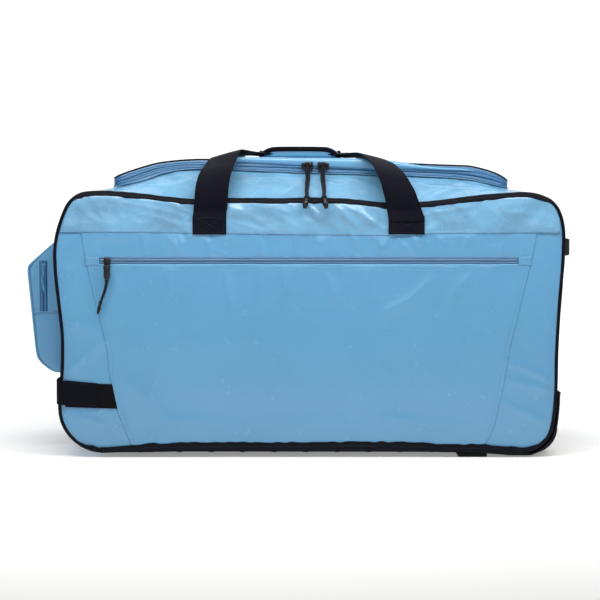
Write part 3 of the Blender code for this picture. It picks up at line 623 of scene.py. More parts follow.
def rear_relief(x, z):
    """The same for the rear cloth, with pulls round the feet of its handle."""
    side = np.clip(1 - np.abs((x - MIDDLE_X) / 0.378) ** 5, 0, 1)
    body = 0.8 * SAG(z) * side
    high = ramp(0.3, 0.352, z)
    waves = (0.8 * crease(x * 19 - z * 8, z * 26 + x * 5, 23) - 0.3) * high
    waves += 0.7 * noise(x * 26, z * 8, 27) * ramp(0.12, 0.3, z) * (1 - high)
    waves += 0.55 * noise(x * 7 - z * 5, z * 8, 32) + 0.22 * noise(x * 19, z * 20, 33)
    for foot in (-1, 1):
        x0 = HANDLE_X + foot * LEG_SPREAD
        for n in range(5):
            lean = (n - 2) * 0.02
            waves = waves + folds(x, z, [(x0 + lean * 0.8, 0.384, x0 + lean * 3.2, 0.345, 0.006, 0.0011)])
            waves = waves + folds(x, z, [(x0 + lean, 0.334, x0 + lean * 1.6, 0.285, 0.006, 0.0008)])
    return 0.0012 + 0.001 * (body + waves) * ramp(0.001, 0.02, edge_distance(x, z))


RELIEF = {-1: front_relief, 1: rear_relief}


def on_face(side, x, z, lift=0.0):
    """Points on the front (-1) or rear (1) cloth, lifted off it."""
    x, z = np.broadcast_arrays(np.asarray(x, float), np.asarray(z, float))
    return np.stack([x, side * (PIPING_Y + RELIEF[side](x, z) + lift), z], -1)


def face_normals(side, x, z):
    """Directions straight out of the front or rear cloth."""
    step = 0.0015
    dx = (RELIEF[side](x + step, z) - RELIEF[side](x - step, z)) / (2 * step)
    dz = (RELIEF[side](x, z + step) - RELIEF[side](x, z - step)) / (2 * step)
    return unit(np.stack([-dx, np.full(np.shape(dx), side), -dz], -1))


def coons(columns, rows):
    """The outline's inside as a grid of (x, z)."""
    low = rim_run(BASE_LEFT, BASE_RIGHT, columns)
    right = rim_run(BASE_RIGHT, TOP_RIGHT, rows)
    top = rim_run(TOP_RIGHT, TOP_LEFT, columns)[::-1]
    left = rim_run(TOP_LEFT, BASE_LEFT, rows)[::-1]
    u = np.linspace(0, 1, columns)[None, :, None]
    v = np.linspace(0, 1, rows)[:, None, None]
    return (
        (1 - v) * low[None] + v * top[None] + (1 - u) * left[:, None] + u * right[:, None]
        - (1 - u) * (1 - v) * low[0] - u * (1 - v) * low[-1] - (1 - u) * v * top[0] - u * v * top[-1]
    )


def facing(points, faces, side):
    return points, faces if side < 0 else np.asarray(faces)[:, ::-1]


def hemmed(side, x, z, lift, thick=0.0011):
    """A panel over the face cloth whose edges roll down onto it."""
    rows, columns = x.shape
    grid = on_face(side, x, z, lift)
    across = np.minimum(np.arange(columns), np.arange(columns)[::-1])[None, :]
    along = np.minimum(np.arange(rows), np.arange(rows)[::-1])[:, None]
    near = np.minimum(across, along)
    grid[..., 1] -= side * thick * np.where(near == 0, 0.55, np.where(near == 1, 0.12, 0))
    return sheet_of(grid if side < 0 else grid[:, ::-1], thick)


def edged(low, high, count, fold=0.0012):
    """Spaced positions with two close ones at each end, for a rolled edge."""
    inner = np.linspace(low + 2 * fold, high - 2 * fold, count)
    return np.concatenate([[low, low + fold], inner, [high - fold, high]])


PANEL_FOOT = 0.018  # the low edge of the big panel inside the slanted seams


def face_panels(side, label, quality):
    """The cloth of one face: the whole of it, the panel between the seams, the zip panel and the yoke."""
    grid = coons(int(250 * quality), int(128 * quality))
    points = on_face(side, grid[..., 0], grid[..., 1])
    skin = quads(*grid.shape[:2])
    nodes = ["front_panel", "front_pocket_panel"] if side < 0 else ["rear_panel"]
    make(f"{label}_side_cloth", *facing(points.reshape(-1, 3), skin, side), CLOTH, replaces=nodes)

    u = edged(0, 1, int(230 * quality), 0.0016)
    v = edged(0, 1, int(78 * quality), 0.004)[:, None]
    z = PANEL_FOOT + ((0.2922 if side < 0 else 0.335) - PANEL_FOOT) * v
    x = left_seam(z) + (right_seam(z) - left_seam(z)) * u[None, :]
    z = rim_low(x) + 0.0015 + (z - PANEL_FOOT) * (1 - (rim_low(x) - 0.0165) / 0.27)
    z = np.minimum(z, 0.2922 if side < 0 else 0.336)
    make(f"{label}_face_cloth", *hemmed(side, x, z, 0.0012), CLOTH)

    if side < 0:
        foot, middle = 0.3008, 0.32  # of the cloth above the pocket's zip
        v = edged(0, 1, 10, 0.03)[:, None]
        x = left_seam(middle) + (right_seam(middle) - left_seam(middle)) * u[None, :] + 0 * v
        z = foot + (yoke_height(x) + 0.004 - foot) * v
        x = x + (left_seam(z) - left_seam(middle)) * (1 - u) + (right_seam(z) - right_seam(middle)) * u
        make("front_zip_panel_cloth", *hemmed(side, x, z, 0.0012), CLOTH)

    count = int(240 * quality)
    x = np.linspace(-0.3708, 0.3884, count)
    low, top = np.stack([x, yoke_height(x)], 1), rim_run((0.3887, 0.3387), (-0.3712, 0.34), count)[::-1]
    yoke = np.stack([low * (1 - share) + top * share for share in edged(0, 1, int(20 * quality), 0.022)])
    inside = np.clip(yoke[..., 0], -0.3708, 0.3882)
    points = on_face(side, inside, yoke[..., 1], 0.0024)
    tuck = ramp(0.0, 0.006, edge_distance(inside, yoke[..., 1]))
    points[..., 1] = side * (PIPING_Y + (side * points[..., 1] - PIPING_Y) * tuck)
    points[0, :, 1] -= side * 0.0009
    points[1, :, 1] += side * 0.0003
    # The yoke takes the lighter cloth with painted sheen.
    make(f"{label}_yoke_cloth", *sheet_of(points if side < 0 else points[:, ::-1], 0.001), CLOTH_CREASED_PAINTED_SHEEN)


def face_row(side, x, z, lift):
    """One row of stitching on a face."""
    x, z = np.broadcast_arrays(x, z)
    return stitches(on_face(side, x, z, lift), face_normals(side, x, z))


def face_stitching(side, label):
    """The rows beside the slanted seams, under the yoke and, in front, along the pocket's zip."""
    z = np.linspace(0.024, 0.29 if side < 0 else 0.333, 180)
    parts = [face_row(side, seam(z) + inward * offset, z, 0.0013)
             for seam, inward in ((left_seam, 1), (right_seam, -1)) for offset in (0.003, 0.0078)]
    x = np.linspace(-0.366, 0.383, 400)
    parts.append(face_row(side, x, yoke_height(x) + 0.003, 0.0026))
    if side < 0:
        x = np.linspace(left_seam(0.2865) + 0.004, right_seam(0.2865) - 0.004, 400)
        parts += [face_row(side, x, z, 0.0013) for z in (0.2868, 0.2822, 0.304)]
    grown(f"{label}_stitching", *joined(parts), THREAD)


for side, label in SIDES:
    face_panels(side, label, 1.0 if side < 0 else 0.7)
for side, label in SIDES:
    face_stitching(side, label)

# ---- piping round both faces --------------------------------------------------------
ring = RIM[::2]
count = np.arange(len(ring))
ahead = np.gradient(ring, axis=0)
outward = np.stack([-ahead[:, 1], ahead[:, 0]], 1) / np.linalg.norm(ahead, axis=1)[:, None]
level_run = ramp(0.75, 0.99, np.abs(unit(ahead)[:, 0]))  # 1 where the outline runs level
for side, label in SIDES:
    bumps = 0.00035 * noise(count * 0.55, 0.3, 41 + side) * ramp(0.3, 0.37, ring[:, 1])
    thick = PIPING_RADIUS * (1 + 0.05 * noise(count * 0.21, 0.9, 44))
    path = line_of(ring[:, 0], side * PIPING_Y, ring[:, 1] + bumps)
    rod(f"{label}_piping_cord", path, thick, 10, PIPING, closed=True, replaces=[f"{label}_piping"])
    flange = []
    for reach, lift in ((0.0, 0.0024), (0.003, 0.0042), (0.0054, 0.0038)):
        scallop = (0.3 + 0.85 * level_run) * (1 + 0.28 * noise(count * 0.42, reach * 90, 47))
        flat = ring + outward * (reach * scallop)[:, None]
        flange.append(line_of(flat[:, 0], side * (PIPING_Y + lift), flat[:, 1]))
    grown(f"{label}_piping_flange", np.vstack(flange), quads(3, len(ring), wrap=True), PIPING)

# ---- the two ends of the shell ------------------------------------------------------
# A height, and how far an end's cloth stands out at the middle of its width.
END_BULGE = tenths([(0, 0), (200, 10), (700, 40), (1400, 80), (2600, 90), (3300, 65), (3720, 10), (4000, 0)])
HALF_DEPTH = 0.1765  # the cloth of the ends and the top reaches this far from the middle plane


def end_surface(run, y, seed):
    """The end cloth over a run of the outline and across the depth, as a grid of points."""
    tangent = unit(np.gradient(run, axis=0))
    normal = np.stack([tangent[:, 1], -tangent[:, 0]], 1)
    length = run_of(run)
    s, across = np.meshgrid(length, y, indexing="ij")
    z = np.broadcast_to(run[:, 1:2], s.shape)
    free = np.clip(1 - (across / HALF_DEPTH) ** 2, 0, 1)
    out = np.interp(z, *END_BULGE.T) * free**0.75
    waves = 0.9 * noise(across * 11, s * 8, seed) + 0.5 * noise(across * 24 + s * 9, s * 19, seed + 1)
    waves += 0.8 * crease(across * 16 + s * 6, s * 15, seed + 2) * ramp(0.25, 0.36, z)
    out = out + 0.001 * waves * np.clip(free * 3, 0, 1) * ramp(0.0, 0.02, s) * ramp(0.0, 0.02, s[-1:] - s)
    return line_of(run[:, 0:1] + normal[:, 0:1] * out, across, run[:, 1:2] + normal[:, 1:2] * out)


depth = edged(-HALF_DEPTH, HALF_DEPTH, 84, 0.003)
left_grid = end_surface(rim_run((-0.33, 0.397), (-0.3005, 0.0098), 190), depth, 51)
right_grid = end_surface(rim_run((0.3779, 0.1005), (0.3345, 0.397), 150), depth, 57)
low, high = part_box("trolley_bezel")
for label, grid in (("left", left_grid), ("right", right_grid)):
    points, faces = grid.reshape(-1, 3), quads(*grid.shape[:2])
    corner = points[faces]  # the left end has a window for the trolley's bezel
    window = ((np.abs(corner[..., 1]) < high.y) & (corner[..., 2] > low.z) & (corner[..., 2] < high.z)).all(1)
    make(f"{label}_end_cloth", points, faces[~(window & (label == "left"))], CLOTH_SHEET,
         replaces=[f"{label}_end_panel"])


def end_x(side, y, z):
    """Where the end cloth is at a depth and a height."""
    flat = (left_grid if side < 0 else right_grid).reshape(-1, 3)
    inner = 4 * (flat[:, 0] * side < 0.25)
    return float(flat[np.argmin((flat[:, 1] - y) ** 2 + (flat[:, 2] - z) ** 2 + inner), 0])


# ---- the top of the shell round the zip ---------------------------------------------
# World X with the heights of the zip's lower edge, its coil and the lid's edge.
ZIP_LINES = tenths([
    (-2910, 4072, 4122, 4164), (-2840, 4078, 4140, 4222), (-2660, 4118, 4200, 4292),
    (-2350, 4182, 4318, 4388), (-2200, 4262, 4360, 4425), (-1890, 4328, 4398, 4460),
    (-1630, 4345, 4405, 4474), (-980, 4322, 4376, 4470), (-65, 4285, 4346, 4455),
    (620, 4266, 4326, 4450), (1000, 4258, 4314, 4436), (1610, 4238, 4292, 4404),
    (2220, 4208, 4270, 4384), (2526, 4176, 4240, 4374), (2830, 4115, 4176, 4296),
    (3010, 4062, 4120, 4220), (3110, 4035, 4075, 4112),
])
zip_low, zip_split, lid_edge = (softened([(row[0], row[k]) for row in ZIP_LINES], 0.018) for k in (1, 2, 3))


def level(x, up):
    """Height at a world X, where up runs from TAPE_FOOT past COIL_UP to LID_EDGE."""
    low, split, high = zip_low(x), zip_split(x), lid_edge(x)
    lower = low + (split - low) * (up - TAPE_FOOT) / 0.0113
    upper = split + (high - split) * (np.minimum(up, LID_EDGE) - COIL_UP) / 0.0074
    above = upper + np.maximum(up - LID_EDGE, 0)
    return np.where(up < TAPE_FOOT, low + up - TAPE_FOOT, np.where(up < COIL_UP, lower, above))


# Creases of the cloth in front of the zip: (x0, y0, x1, y1, half width, height).
TOP_FOLDS = tenths([
    (-2620, -1500, -1760, -1660, 45, 17), (-2400, -1420, -1800, -1460, 40, 12),
    (-2140, -1700, -1740, -1500, 35, 13), (-2860, -1680, -2260, -1500, 50, 12),
    (-1120, -1500, -700, -1600, 35, 18), (-1040, -1680, -520, -1460, 35, 14),
    (-720, -1460, -180, -1540, 35, 16), (-300, -1680, 40, -1520, 30, 13),
    (120, -1500, 600, -1570, 35, 17), (260, -1680, 700, -1500, 35, 12),
    (620, -1440, 1120, -1530, 35, 16), (860, -1680, 1220, -1500, 35, 14),
    (1780, -1480, 2300, -1580, 38, 17), (1900, -1680, 2620, -1540, 40, 14),
    (2360, -1460, 2920, -1520, 40, 11), (2620, -1700, 3060, -1580, 45, 10),
])


def top_surface(x, y):
    """The cloth round the lid: from the zip's foot out and down to the piping and the ends."""
    beyond = np.maximum(np.abs(x - MIDDLE_X) - MAIN_ZIP_HALF, 0) / 0.034
    aside = np.maximum(np.abs(y) - MAIN_ZIP_FRONT, 0) / (HALF_DEPTH - MAIN_ZIP_FRONT)
    s = np.clip(np.hypot(beyond, aside), 0, 1)
    outer = rim_top(np.clip(x, -0.33, 0.3345))
    inner = level(x, -0.003)
    z = inner + (outer - inner) * s**1.12
    free = ramp(0.0, 0.12, s) * ramp(0.0, 0.1, 1 - s)
    waves = 2.9 * crease(x * 24 + y * 20, y * 34 - x * 8, 61) - 1.2 + 1.1 * noise(x * 52, y * 60, 63)
    waves = waves + 1.7 * folds(x, y, TOP_FOLDS)
    return line_of(x, y + 0.0006 * np.sign(-y) * waves * free * aside.clip(0, 1), z + 0.0011 * waves * free)


front_y = np.linspace(-HALF_DEPTH, -0.13, 22)
plan_y = np.concatenate([front_y, np.linspace(-0.12, 0.12, 40), np.linspace(0.13, HALF_DEPTH, 22)])
top_grid = top_surface(*np.meshgrid(np.linspace(-0.3305, 0.335, 260), plan_y, indexing="ij"))
faces = quads(*top_grid.shape[:2])
centre = top_grid.reshape(-1, 3)[faces].mean(1)
mouth = (np.abs(centre[:, 0] - MIDDLE_X) < MAIN_ZIP_HALF - 0.0015) & (np.abs(centre[:, 1]) < 0.1312)
# The strip round the lid takes the lighter cloth with painted sheen.
make("top_surround_cloth", top_grid.reshape(-1, 3), faces[~mouth], CLOTH_CREASED_PAINTED_SHEEN,
     replaces=["top_front_strip", "top_rear_strip"])

# ---- main zip -----------------------------------------------------------------------
def zip_route(count):
    """The zip's way in plan: rear of the left end, across the front, rear of the right end."""
    half, front, radius = MAIN_ZIP_HALF, MAIN_ZIP_FRONT, MAIN_ZIP_CORNER
    turn = np.linspace(0, math.pi / 2, 12)
    left = np.stack([-half + radius * (1 - np.cos(turn)), -front + radius * (1 - np.sin(turn))], 1)
    across = np.linspace(-half + radius, half - radius, 40)[1:-1]
    line = np.vstack([[[-half, MAIN_ZIP_REAR]], left, np.stack([across, np.full(38, -front)], 1),
                      (left * [-1, 1])[::-1], [[half, MAIN_ZIP_REAR]]])
    length = run_of(line)
    at = np.linspace(0, length[-1], count)
    line = np.stack([np.interp(at, length, line[:, k]) for k in range(2)], 1)
    ahead = unit(np.gradient(line, axis=0))
    return line + [MIDDLE_X, 0], np.stack([ahead[:, 1], -ahead[:, 0]], 1)


def along_zip(count, out, up):
    """Points that follow the zip, out from its line and up to a level."""
    line, outward = zip_route(count)
    flat = line + outward * out
    return line_of(flat[:, 0], flat[:, 1], level(line[:, 0], up))


def zip_band(name, profile, count, thickness, material, body, **where):
    """A band along the zip from a profile of (outward, up) offsets."""
    grid = np.stack([along_zip(count, out, up) for out, up in profile])
    make(name, *sheet_of(grid[:, ::-1], thickness), material, body, **where)


# How far out and how high each half of the zip's tape is, from its edge to its coil and on.
LOWER_TAPE = tenths([
    (42, -42), (40, -22), (26, -8), (22, 8), (30, 16), (30, 26), (21, 33), (24, 44), (30, 52), (26, 62),
    (8, 65),
])
UPPER_TAPE = tenths([
    (8, 80), (26, 83), (30, 93), (24, 101), (21, 112), (30, 119), (30, 129), (22, 138), (26, 150),
])
HALVES = (("lower", SHELL, LOWER_TAPE, 0.00655, (0.005, 0.0071)),
          ("upper", "lid", UPPER_TAPE, 0.00785, (0.0074, 0.0098)))
for half, body, profile, _, _ in HALVES:
    zip_band(f"main_zip_{half}_tape", profile, 420, 0.0009, TAPE, body, replaces=[f"main_zip_{half}"])
teeth = 0.00062 * (1 + 0.32 * np.sin(np.arange(2600) * TEETH))
for half, body, _, up, _ in HALVES:
    rod(f"main_coil_{half}", along_zip(2600, 0.001, up), teeth, 6, COIL, body=body)
# A dark band behind each coil of the main zip: painted shade in the gap between its tapes.
for half, body, _, _, (foot, head) in HALVES:
    zip_band(f"main_zip_shade_{half}", [(0.0002, foot), (0.0002, head)], 300, 0.0004, TAPE_GAP_SHADE, body)
outward = zip_route(700)[1]
sewn("main_zip_stitching", along_zip(700, 0.0049, -0.003), unit(line_of(outward[:, 0], outward[:, 1], 0.7)))

# ---- lid ----------------------------------------------------------------------------
def lid_surface(share_x, share_y):
    """The lid's cloth: an arch along the bag with rounded front corners."""
    half, front, rear, radius = MAIN_ZIP_HALF + 0.0012, MAIN_ZIP_FRONT + 0.0016, 0.131, MAIN_ZIP_CORNER
    x = half * share_x
    past = np.maximum(np.abs(x) - (half - radius), 0)
    edge = -front + radius - np.sqrt(np.maximum(radius**2 - past**2, 0))
    y = edge + (rear - edge) * share_y
    near = np.minimum(np.minimum(half - np.abs(x), y - edge), 0.03) / 0.03
    full = np.interp(x + MIDDLE_X, [-0.2, -0.12, -0.09, 0.0, 0.062, 0.1, 0.14, 0.165, 0.19, 0.23],
                     [0.0008, 0.0012, 0.0016, 0.0018, 0.0024, 0.003, 0.0028, 0.0024, 0.0016, 0.0006])
    crown = full * ramp(0, 1, near)
    waves = 0.7 * noise(x * 12, y * 14, 71) + 0.45 * noise(x * 26 + y * 9, y * 24, 72)
    waves += 0.55 * crease(x * 13 + y * 5, y * 15, 73)
    z = lid_edge(x + MIDDLE_X) + 0.0006 + crown + 0.0006 * waves * ramp(0, 0.6, near)
    return line_of(x + MIDDLE_X, y, z)


turn = np.sin(np.linspace(0, math.pi / 2, 10))
share = np.concatenate([-1 + 0.04 * (1 - turn[::-1]), np.linspace(-0.955, 0.955, 170), 1 - 0.04 * (1 - turn)])
lid_grid = lid_surface(*np.meshgrid(share, edged(0, 1, 76, 0.006), indexing="ij"))
make("lid_cloth", *sheet_of(lid_grid, 0.0016), CLOTH, "lid", replaces=["lid_panel"])
bead = along_zip(520, 0.0026, 0.016)
rod("lid_piping_cord", bead, 0.00155, 8, PIPING, body="lid", replaces=["lid_piping"])

# The lid's cloth rolls over its front edge and laps the zip. LAP is X and how far above the coil it ends.
LAP = tenths([(-1660, 60), (-980, 72), (-65, 53), (450, 32), (1000, 32), (1610, 50), (2220, 58), (2810, 100)])
x = np.linspace(-0.166, 0.281, 420)
swell = ramp(-0.166, -0.11, x) * (1 - ramp(0.225, 0.281, x))
hidden = ramp(-0.15, -0.1, x) * (1 - ramp(0.11, 0.22, x))
bottom = np.minimum(zip_split(x) + np.interp(x, *LAP.T), lid_edge(x) - 0.0012)
head = lid_edge(x) + (0.0024 + 0.0026 * hidden) * swell - 0.0056 * (1 - hidden)
ripple = 0.0005 * noise(x * 55, 0.4, 75) + 0.0004 * noise(x * 120, 0.9, 76)
rows = []
for forward, share, drop in (
    (0.0, 1.0, 0.0006), (-0.0026, 1.02, 0), (-0.0048, 0.92, 0), (-0.006, 0.7, 0),
    (-0.0062, 0.45, 0), (-0.0052, 0.18, 0), (-0.0038, 0.04, 0), (-0.0022, 0.0, 0),
):
    rows.append(line_of(x, -MAIN_ZIP_FRONT + forward * (0.35 + 0.65 * swell) + ripple * (share > 0.1),
                        bottom + (head - bottom) * share - drop))
grown("lid_front_roll", *sheet_of(rounded(rows, 22), 0.0009), CLOTH, body="lid")
sewn("lid_stitching", along_zip(520, -0.0035, LID_EDGE + 0.0014), (0, 0, 1), body="lid")

# The strip that the lid turns on, from the lid's rear edge down onto the cloth behind it.
x = np.linspace(-0.2858, 0.3058, 220)
profile = [(0.1245, 0.0156), (0.129, 0.016), (0.1322, 0.0157), (0.135, 0.014), (0.1366, 0.0112),
           (0.1372, 0.0078), (0.1374, 0.0042), (0.138, 0.001)]
rows = [line_of(x, y + 0.0006 * noise(x * 22, y * 60, 77), level(x, up) + 0.0004 * noise(x * 30, up * 90, 78))
        for y, up in profile]
for y, lift in ((0.1402, 0.0032), (0.1424, 0.0016), (0.145, 0.0011), (0.1476, 0.001), (0.1482, -0.0006)):
    rows.append(top_surface(x, y) + [0, 0, lift])
hinge_cloth = make("lid_hinge_cloth", *sheet_of(rounded(rows, 40), 0.0012), CLOTH_BACK, None)
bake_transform(hinge_cloth)
sewn("rear_hinge_stitching", top_surface(x, 0.1456) + [0, 0, 0.0013], (0, 0.7, 0.7))
seam = line_of(x, 0.1275, level(x, 0.0156 + 0.0004 * 2 / 3) + 0.0003)
sewn("lid_hinge_stitching", seam, (0, 0, 1), body="lid")

# ---- front pocket zip ---------------------------------------------------------------
ZIP_FROM, ZIP_TO = -0.308, 0.3215
TAPE_LIFTS = (0.0002, 0.0008, 0.001, 0.0008, 0.0002)


def pocket_band(name, heights, lifts, material, **where):
    """A narrow strip along the pocket zip, from rows of (height, lift)."""
    x = np.linspace(ZIP_FROM, ZIP_TO, 260)
    rows = [on_face(-1, x, z, lift) for z, lift in zip(heights, lifts)]
    make(name, *sheet_of(np.stack(rows), 0.0003), material, **where)


# A dark band behind the pocket zip: painted shade under the edge of the panel above and in the gap.
pocket_band("pocket_zip_shade", (0.29, 0.3025), (0.0001, 0.0001), TAPE_GAP_SHADE, replaces=["front_pocket_zip"])
pocket_band("pocket_zip_tape_low", (0.2928, 0.2931, 0.294, 0.2949, 0.2952), TAPE_LIFTS, TAPE)
pocket_band("pocket_zip_tape_high", (0.2964, 0.2967, 0.298, 0.2993, 0.2996), TAPE_LIFTS, TAPE)
x = np.linspace(ZIP_FROM, ZIP_TO, 1500)
teeth = 0.00042 * (1 + 0.32 * np.sin(np.arange(1500) * TEETH))
coils = [tube_of(on_face(-1, x, z, 0.0006), teeth, 6) for z in (0.29545, 0.29615)]
grown("pocket_zip_coil", *joined(coils), COIL)
for name, x0, x1, edge in (("pocket_zip_stop_left", -0.3285, -0.3072, -0.3088),
                           ("pocket_zip_stop_right", 0.3208, 0.3405, 0.3224)):
    plan = np.meshgrid(edged(x0, x1, 12, 0.0006), edged(0.29, 0.303, 8, 0.0006))
    make(name, *hemmed(-1, *plan, 0.002, thick=0.0009), CLOTH_SHEET)
    grown(name + "_stitching", *face_row(-1, edge, np.linspace(0.2908, 0.302, 30), 0.0021), THREAD)


# ---- sliders and their cord pulls ---------------------------------------------------
def plate_of(outline, thickness, bevel):
    """A flat closed outline (across, up) with thickness, its edges rounded, in the XZ plane."""
    form = bmesh.new()
    ring = [form.verts.new((a, 0, b)) for a, b in outline]
    face = form.faces.new(ring)
    made = bmesh.ops.extrude_face_region(form, geom=[face])
    moved = [v for v in made["geom"] if isinstance(v, bmesh.types.BMVert)]
    bmesh.ops.translate(form, vec=(0, thickness, 0), verts=moved)
    bmesh.ops.recalc_face_normals(form, faces=form.faces)
    rims = [e for e in form.edges if abs(e.verts[0].co.y - e.verts[1].co.y) < 1e-7]
    return bevelled(form, rims, bevel, 2)


def slider_parts(point, long, wide, deep, towards):
    """A coil zip's slider: a waisted plate and a bridge. towards is the way it closes, along X and Z."""
    a, b = long / 2, wide / 2
    half = ((-1, -0.62), (-0.72, -0.74), (0.05, -0.8), (0.55, -1), (0.92, -0.9), (1, -0.45))
    shape = [(p * a, q * b) for p, q in half] + [(p * a, -q * b) for p, q in half[::-1]]
    across, up = towards
    outline = [(across * p, q) if across else (q, up * p) for p, q in shape]
    back = plate_of(outline, deep * 0.42, deep * 0.14)
    bridge = ((0.3, -0.8), (-0.22, -0.62), (-0.46, -0.2), (-0.46, 0.3), (-0.2, 0.72), (0.3, 0.82))
    path = through([(t * a * across * 0.8, y * deep, t * a * up * 0.8) for y, t in bridge], 20)
    arm = tube_of(path, 0.0011, 8, flat=0.7, up=(abs(up), 0, abs(across)))
    points, faces = joined([back, arm])
    return points + np.array(point), faces


def pull(name, body, node, points, strand, cord=None, metal=None):
    """A doubled cord with a knot and a moulded tip, hanging from its slider's ring."""
    line = through(points, 60)
    t = np.linspace(0, 1, 60)
    spread = strand * 0.95 * (0.75 + 0.25 * np.sin(t * 5.0)) * ramp(0, 0.08, t)
    left, right = line - line_of(spread, 0, 0), line + line_of(spread, -0.0004 * np.sin(t * 7), 0)
    end, ahead = line[-1], unit(line[-1] - line[-6])
    knot = tube_of(np.stack([end - ahead * (0.0085 - 0.001 * k) for k in range(7)]),
                   strand * np.array([1.2, 2.0, 2.3, 2.35, 2.3, 2.0, 1.2]), 10, flat=0.8, up=(0, 1, 0))
    cords = [tube_of(left, strand, 8), tube_of(right, strand, 8), knot]
    grown(name + "_cord", *joined(cords), cord or CORD, body=body, replaces=[node])
    tip = np.stack([end - ahead * 0.0035 + ahead * s for s in np.linspace(0, 0.0155, 14)])
    t = np.linspace(0, 1, 14)
    groove = np.where((t > 0.22) & (t < 0.36), 0.86, 1)
    girth = strand * (1.75 + 0.65 * np.sin(t * math.pi) - 0.4 * t) * groove
    grown(name + "_tip", *tube_of(tip, girth, 12, flat=0.72, up=(0, 1, 0)), cord or GLINT, body=body)
    turn = turns(24)
    ring = line_of(0.0029 * np.sin(turn), -0.001 * np.cos(turn), 0.0036 * np.cos(turn) - 0.0022)
    rod(name + "_ring", ring + points[0], 0.00062, 8, metal or GUNMETAL, closed=True, body=body)


zip_y, zip_z = -MAIN_ZIP_FRONT, 0.4388
for label, x, close in (("left", -0.0055 + MIDDLE_X, 1), ("right", 0.0187 + MIDDLE_X, -1)):
    lean = -0.003 * close
    body = f"main_slider_{label}_body"
    plate = slider_parts((x, zip_y - 0.009, zip_z), 0.0178, 0.0136, 0.006, (close, 0))
    turn = turns(40)
    loop = line_of(x + 0.0056 * np.cos(turn), -0.1442 - 0.0016 * np.sin(turn),
                   zip_z + 0.0006 + 0.0042 * np.sin(turn))
    parts = joined([plate, tube_of(loop, 0.0019 + 0.0003 * np.sin(3 * turn), 10, closed=True)])
    grown(f"main_slider_{label}_metal", *parts, GUNMETAL, body=body, replaces=[f"main_slider_{label}"])
    way = [(x, -0.1446, 0.44), (x - lean * 0.1, -0.1484, 0.433), (x - lean * 0.3, -0.156, 0.4225),
           (x, -0.168, 0.4118), (x + lean * 0.3, -0.179, 0.401), (x + lean * 0.2, -0.1862, 0.3925),
           (x + lean * 0.6, -0.1884, 0.3866)]
    pull(f"main_pull_{label}", f"main_pull_{label}_body", f"main_pull_{label}", way, 0.0019)

low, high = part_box("front_pocket_slider")
at = ((low.x + high.x) / 2, low.y + 0.0028, 0.2956)
parts = slider_parts(at, 0.0105, 0.0125, 0.0046, (-1, 0))
grown("pocket_slider_metal", *parts, GUNMETAL, body="front_pocket_slider_body",
      replaces=["front_pocket_slider"])
px, py = at[0], -0.1886
way = [(px, py, 0.27), (px - 0.0008, py, 0.264), (px - 0.003, py - 0.0004, 0.253),
       (px - 0.0068, py, 0.2425), (px - 0.0098, py + 0.0004, 0.2345), (px - 0.0112, py, 0.229)]
pull("pocket_pull", "front_pocket_pull_body", "front_pocket_pull", way, 0.00115)
half = [(-0.0052, 0.286), (-0.0046, 0.283), (-0.005, 0.276), (-0.0036, 0.27)]
tab = half + [(-a, b) for a, b in half[::-1]] + [(0.005, 0.2905), (-0.005, 0.2905)]
parts = [plate_of([(px + a, b) for a, b in tab], 0.003, 0.0007)]
parts[0] = (np.array(parts[0][0]) + [0, py - 0.0015, 0], parts[0][1])
for n in range(5):
    z = 0.2868 - n * 0.0031
    rib = [(px - 0.0042, py - 0.0014, z), (px, py - 0.0018, z - 0.0002), (px + 0.0042, py - 0.0014, z)]
    parts.append(tube_of(rib, 0.0006, 6))
grown("pocket_pull_tab", *joined(parts), SATIN, body="front_pocket_pull_body")


# ---- end pocket ---------------------------------------------------------------------
# (x, z) round the end pocket seen from the front, from its top edge to its lower one.
POCKET_LINE = tenths([
    (-3640, 3335), (-3760, 3265), (-4020, 3045), (-4195, 2885), (-4222, 2800), (-4210, 2640),
    (-4160, 2100), (-4105, 1560), (-4060, 1430), (-3960, 1330), (-3830, 1255), (-3640, 1240),
])
POCKET_HALF = 0.125


def pocket_surface(rows):
    """The end pocket's cloth, in rows over its front wall, its face and its rear wall."""
    line = through(POCKET_LINE, rows)
    middle = np.array([-0.364, 0.225])
    walls = np.linspace(0.03, 1, 14)[:-1]
    across = edged(-POCKET_HALF + 0.0045, POCKET_HALF - 0.0045, 60, 0.003)
    grid = []
    for n, (x, z) in enumerate(line):
        s = n / (rows - 1)
        inner = np.array([-0.363, z])
        crisp = ramp(0, 0.05, s) * ramp(0, 0.05, 1 - s)
        wall = [(inner[0] + (x - inner[0]) * t, z, t) for t in walls]
        front = [(a, -POCKET_HALF - 0.0018 * math.sin(t * math.pi) * crisp + 0.0003 * t, b)
                 for a, b, t in wall]
        bulge = 0.0042 * np.clip(1 - (across / POCKET_HALF) ** 2, 0, 1) ** 0.7 * crisp
        waves = 0.9 * noise(across * 14, s * 9, 81) + 0.5 * noise(across * 30, s * 16 + across * 12, 82)
        waves += 0.9 * crease(across * 20, s * 12, 83)
        out = unit(np.array([x, z]) - middle)
        push = bulge + 0.001 * waves * crisp * np.clip(8 * (1 - np.abs(across) / POCKET_HALF), 0, 1) - 0.0006
        face = [(x + out[0] * p, y, z + out[1] * p) for y, p in zip(across, push)]
        grid.append(front + face + [(a, -y, b) for a, y, b in front[::-1]])
    return np.array(grid)


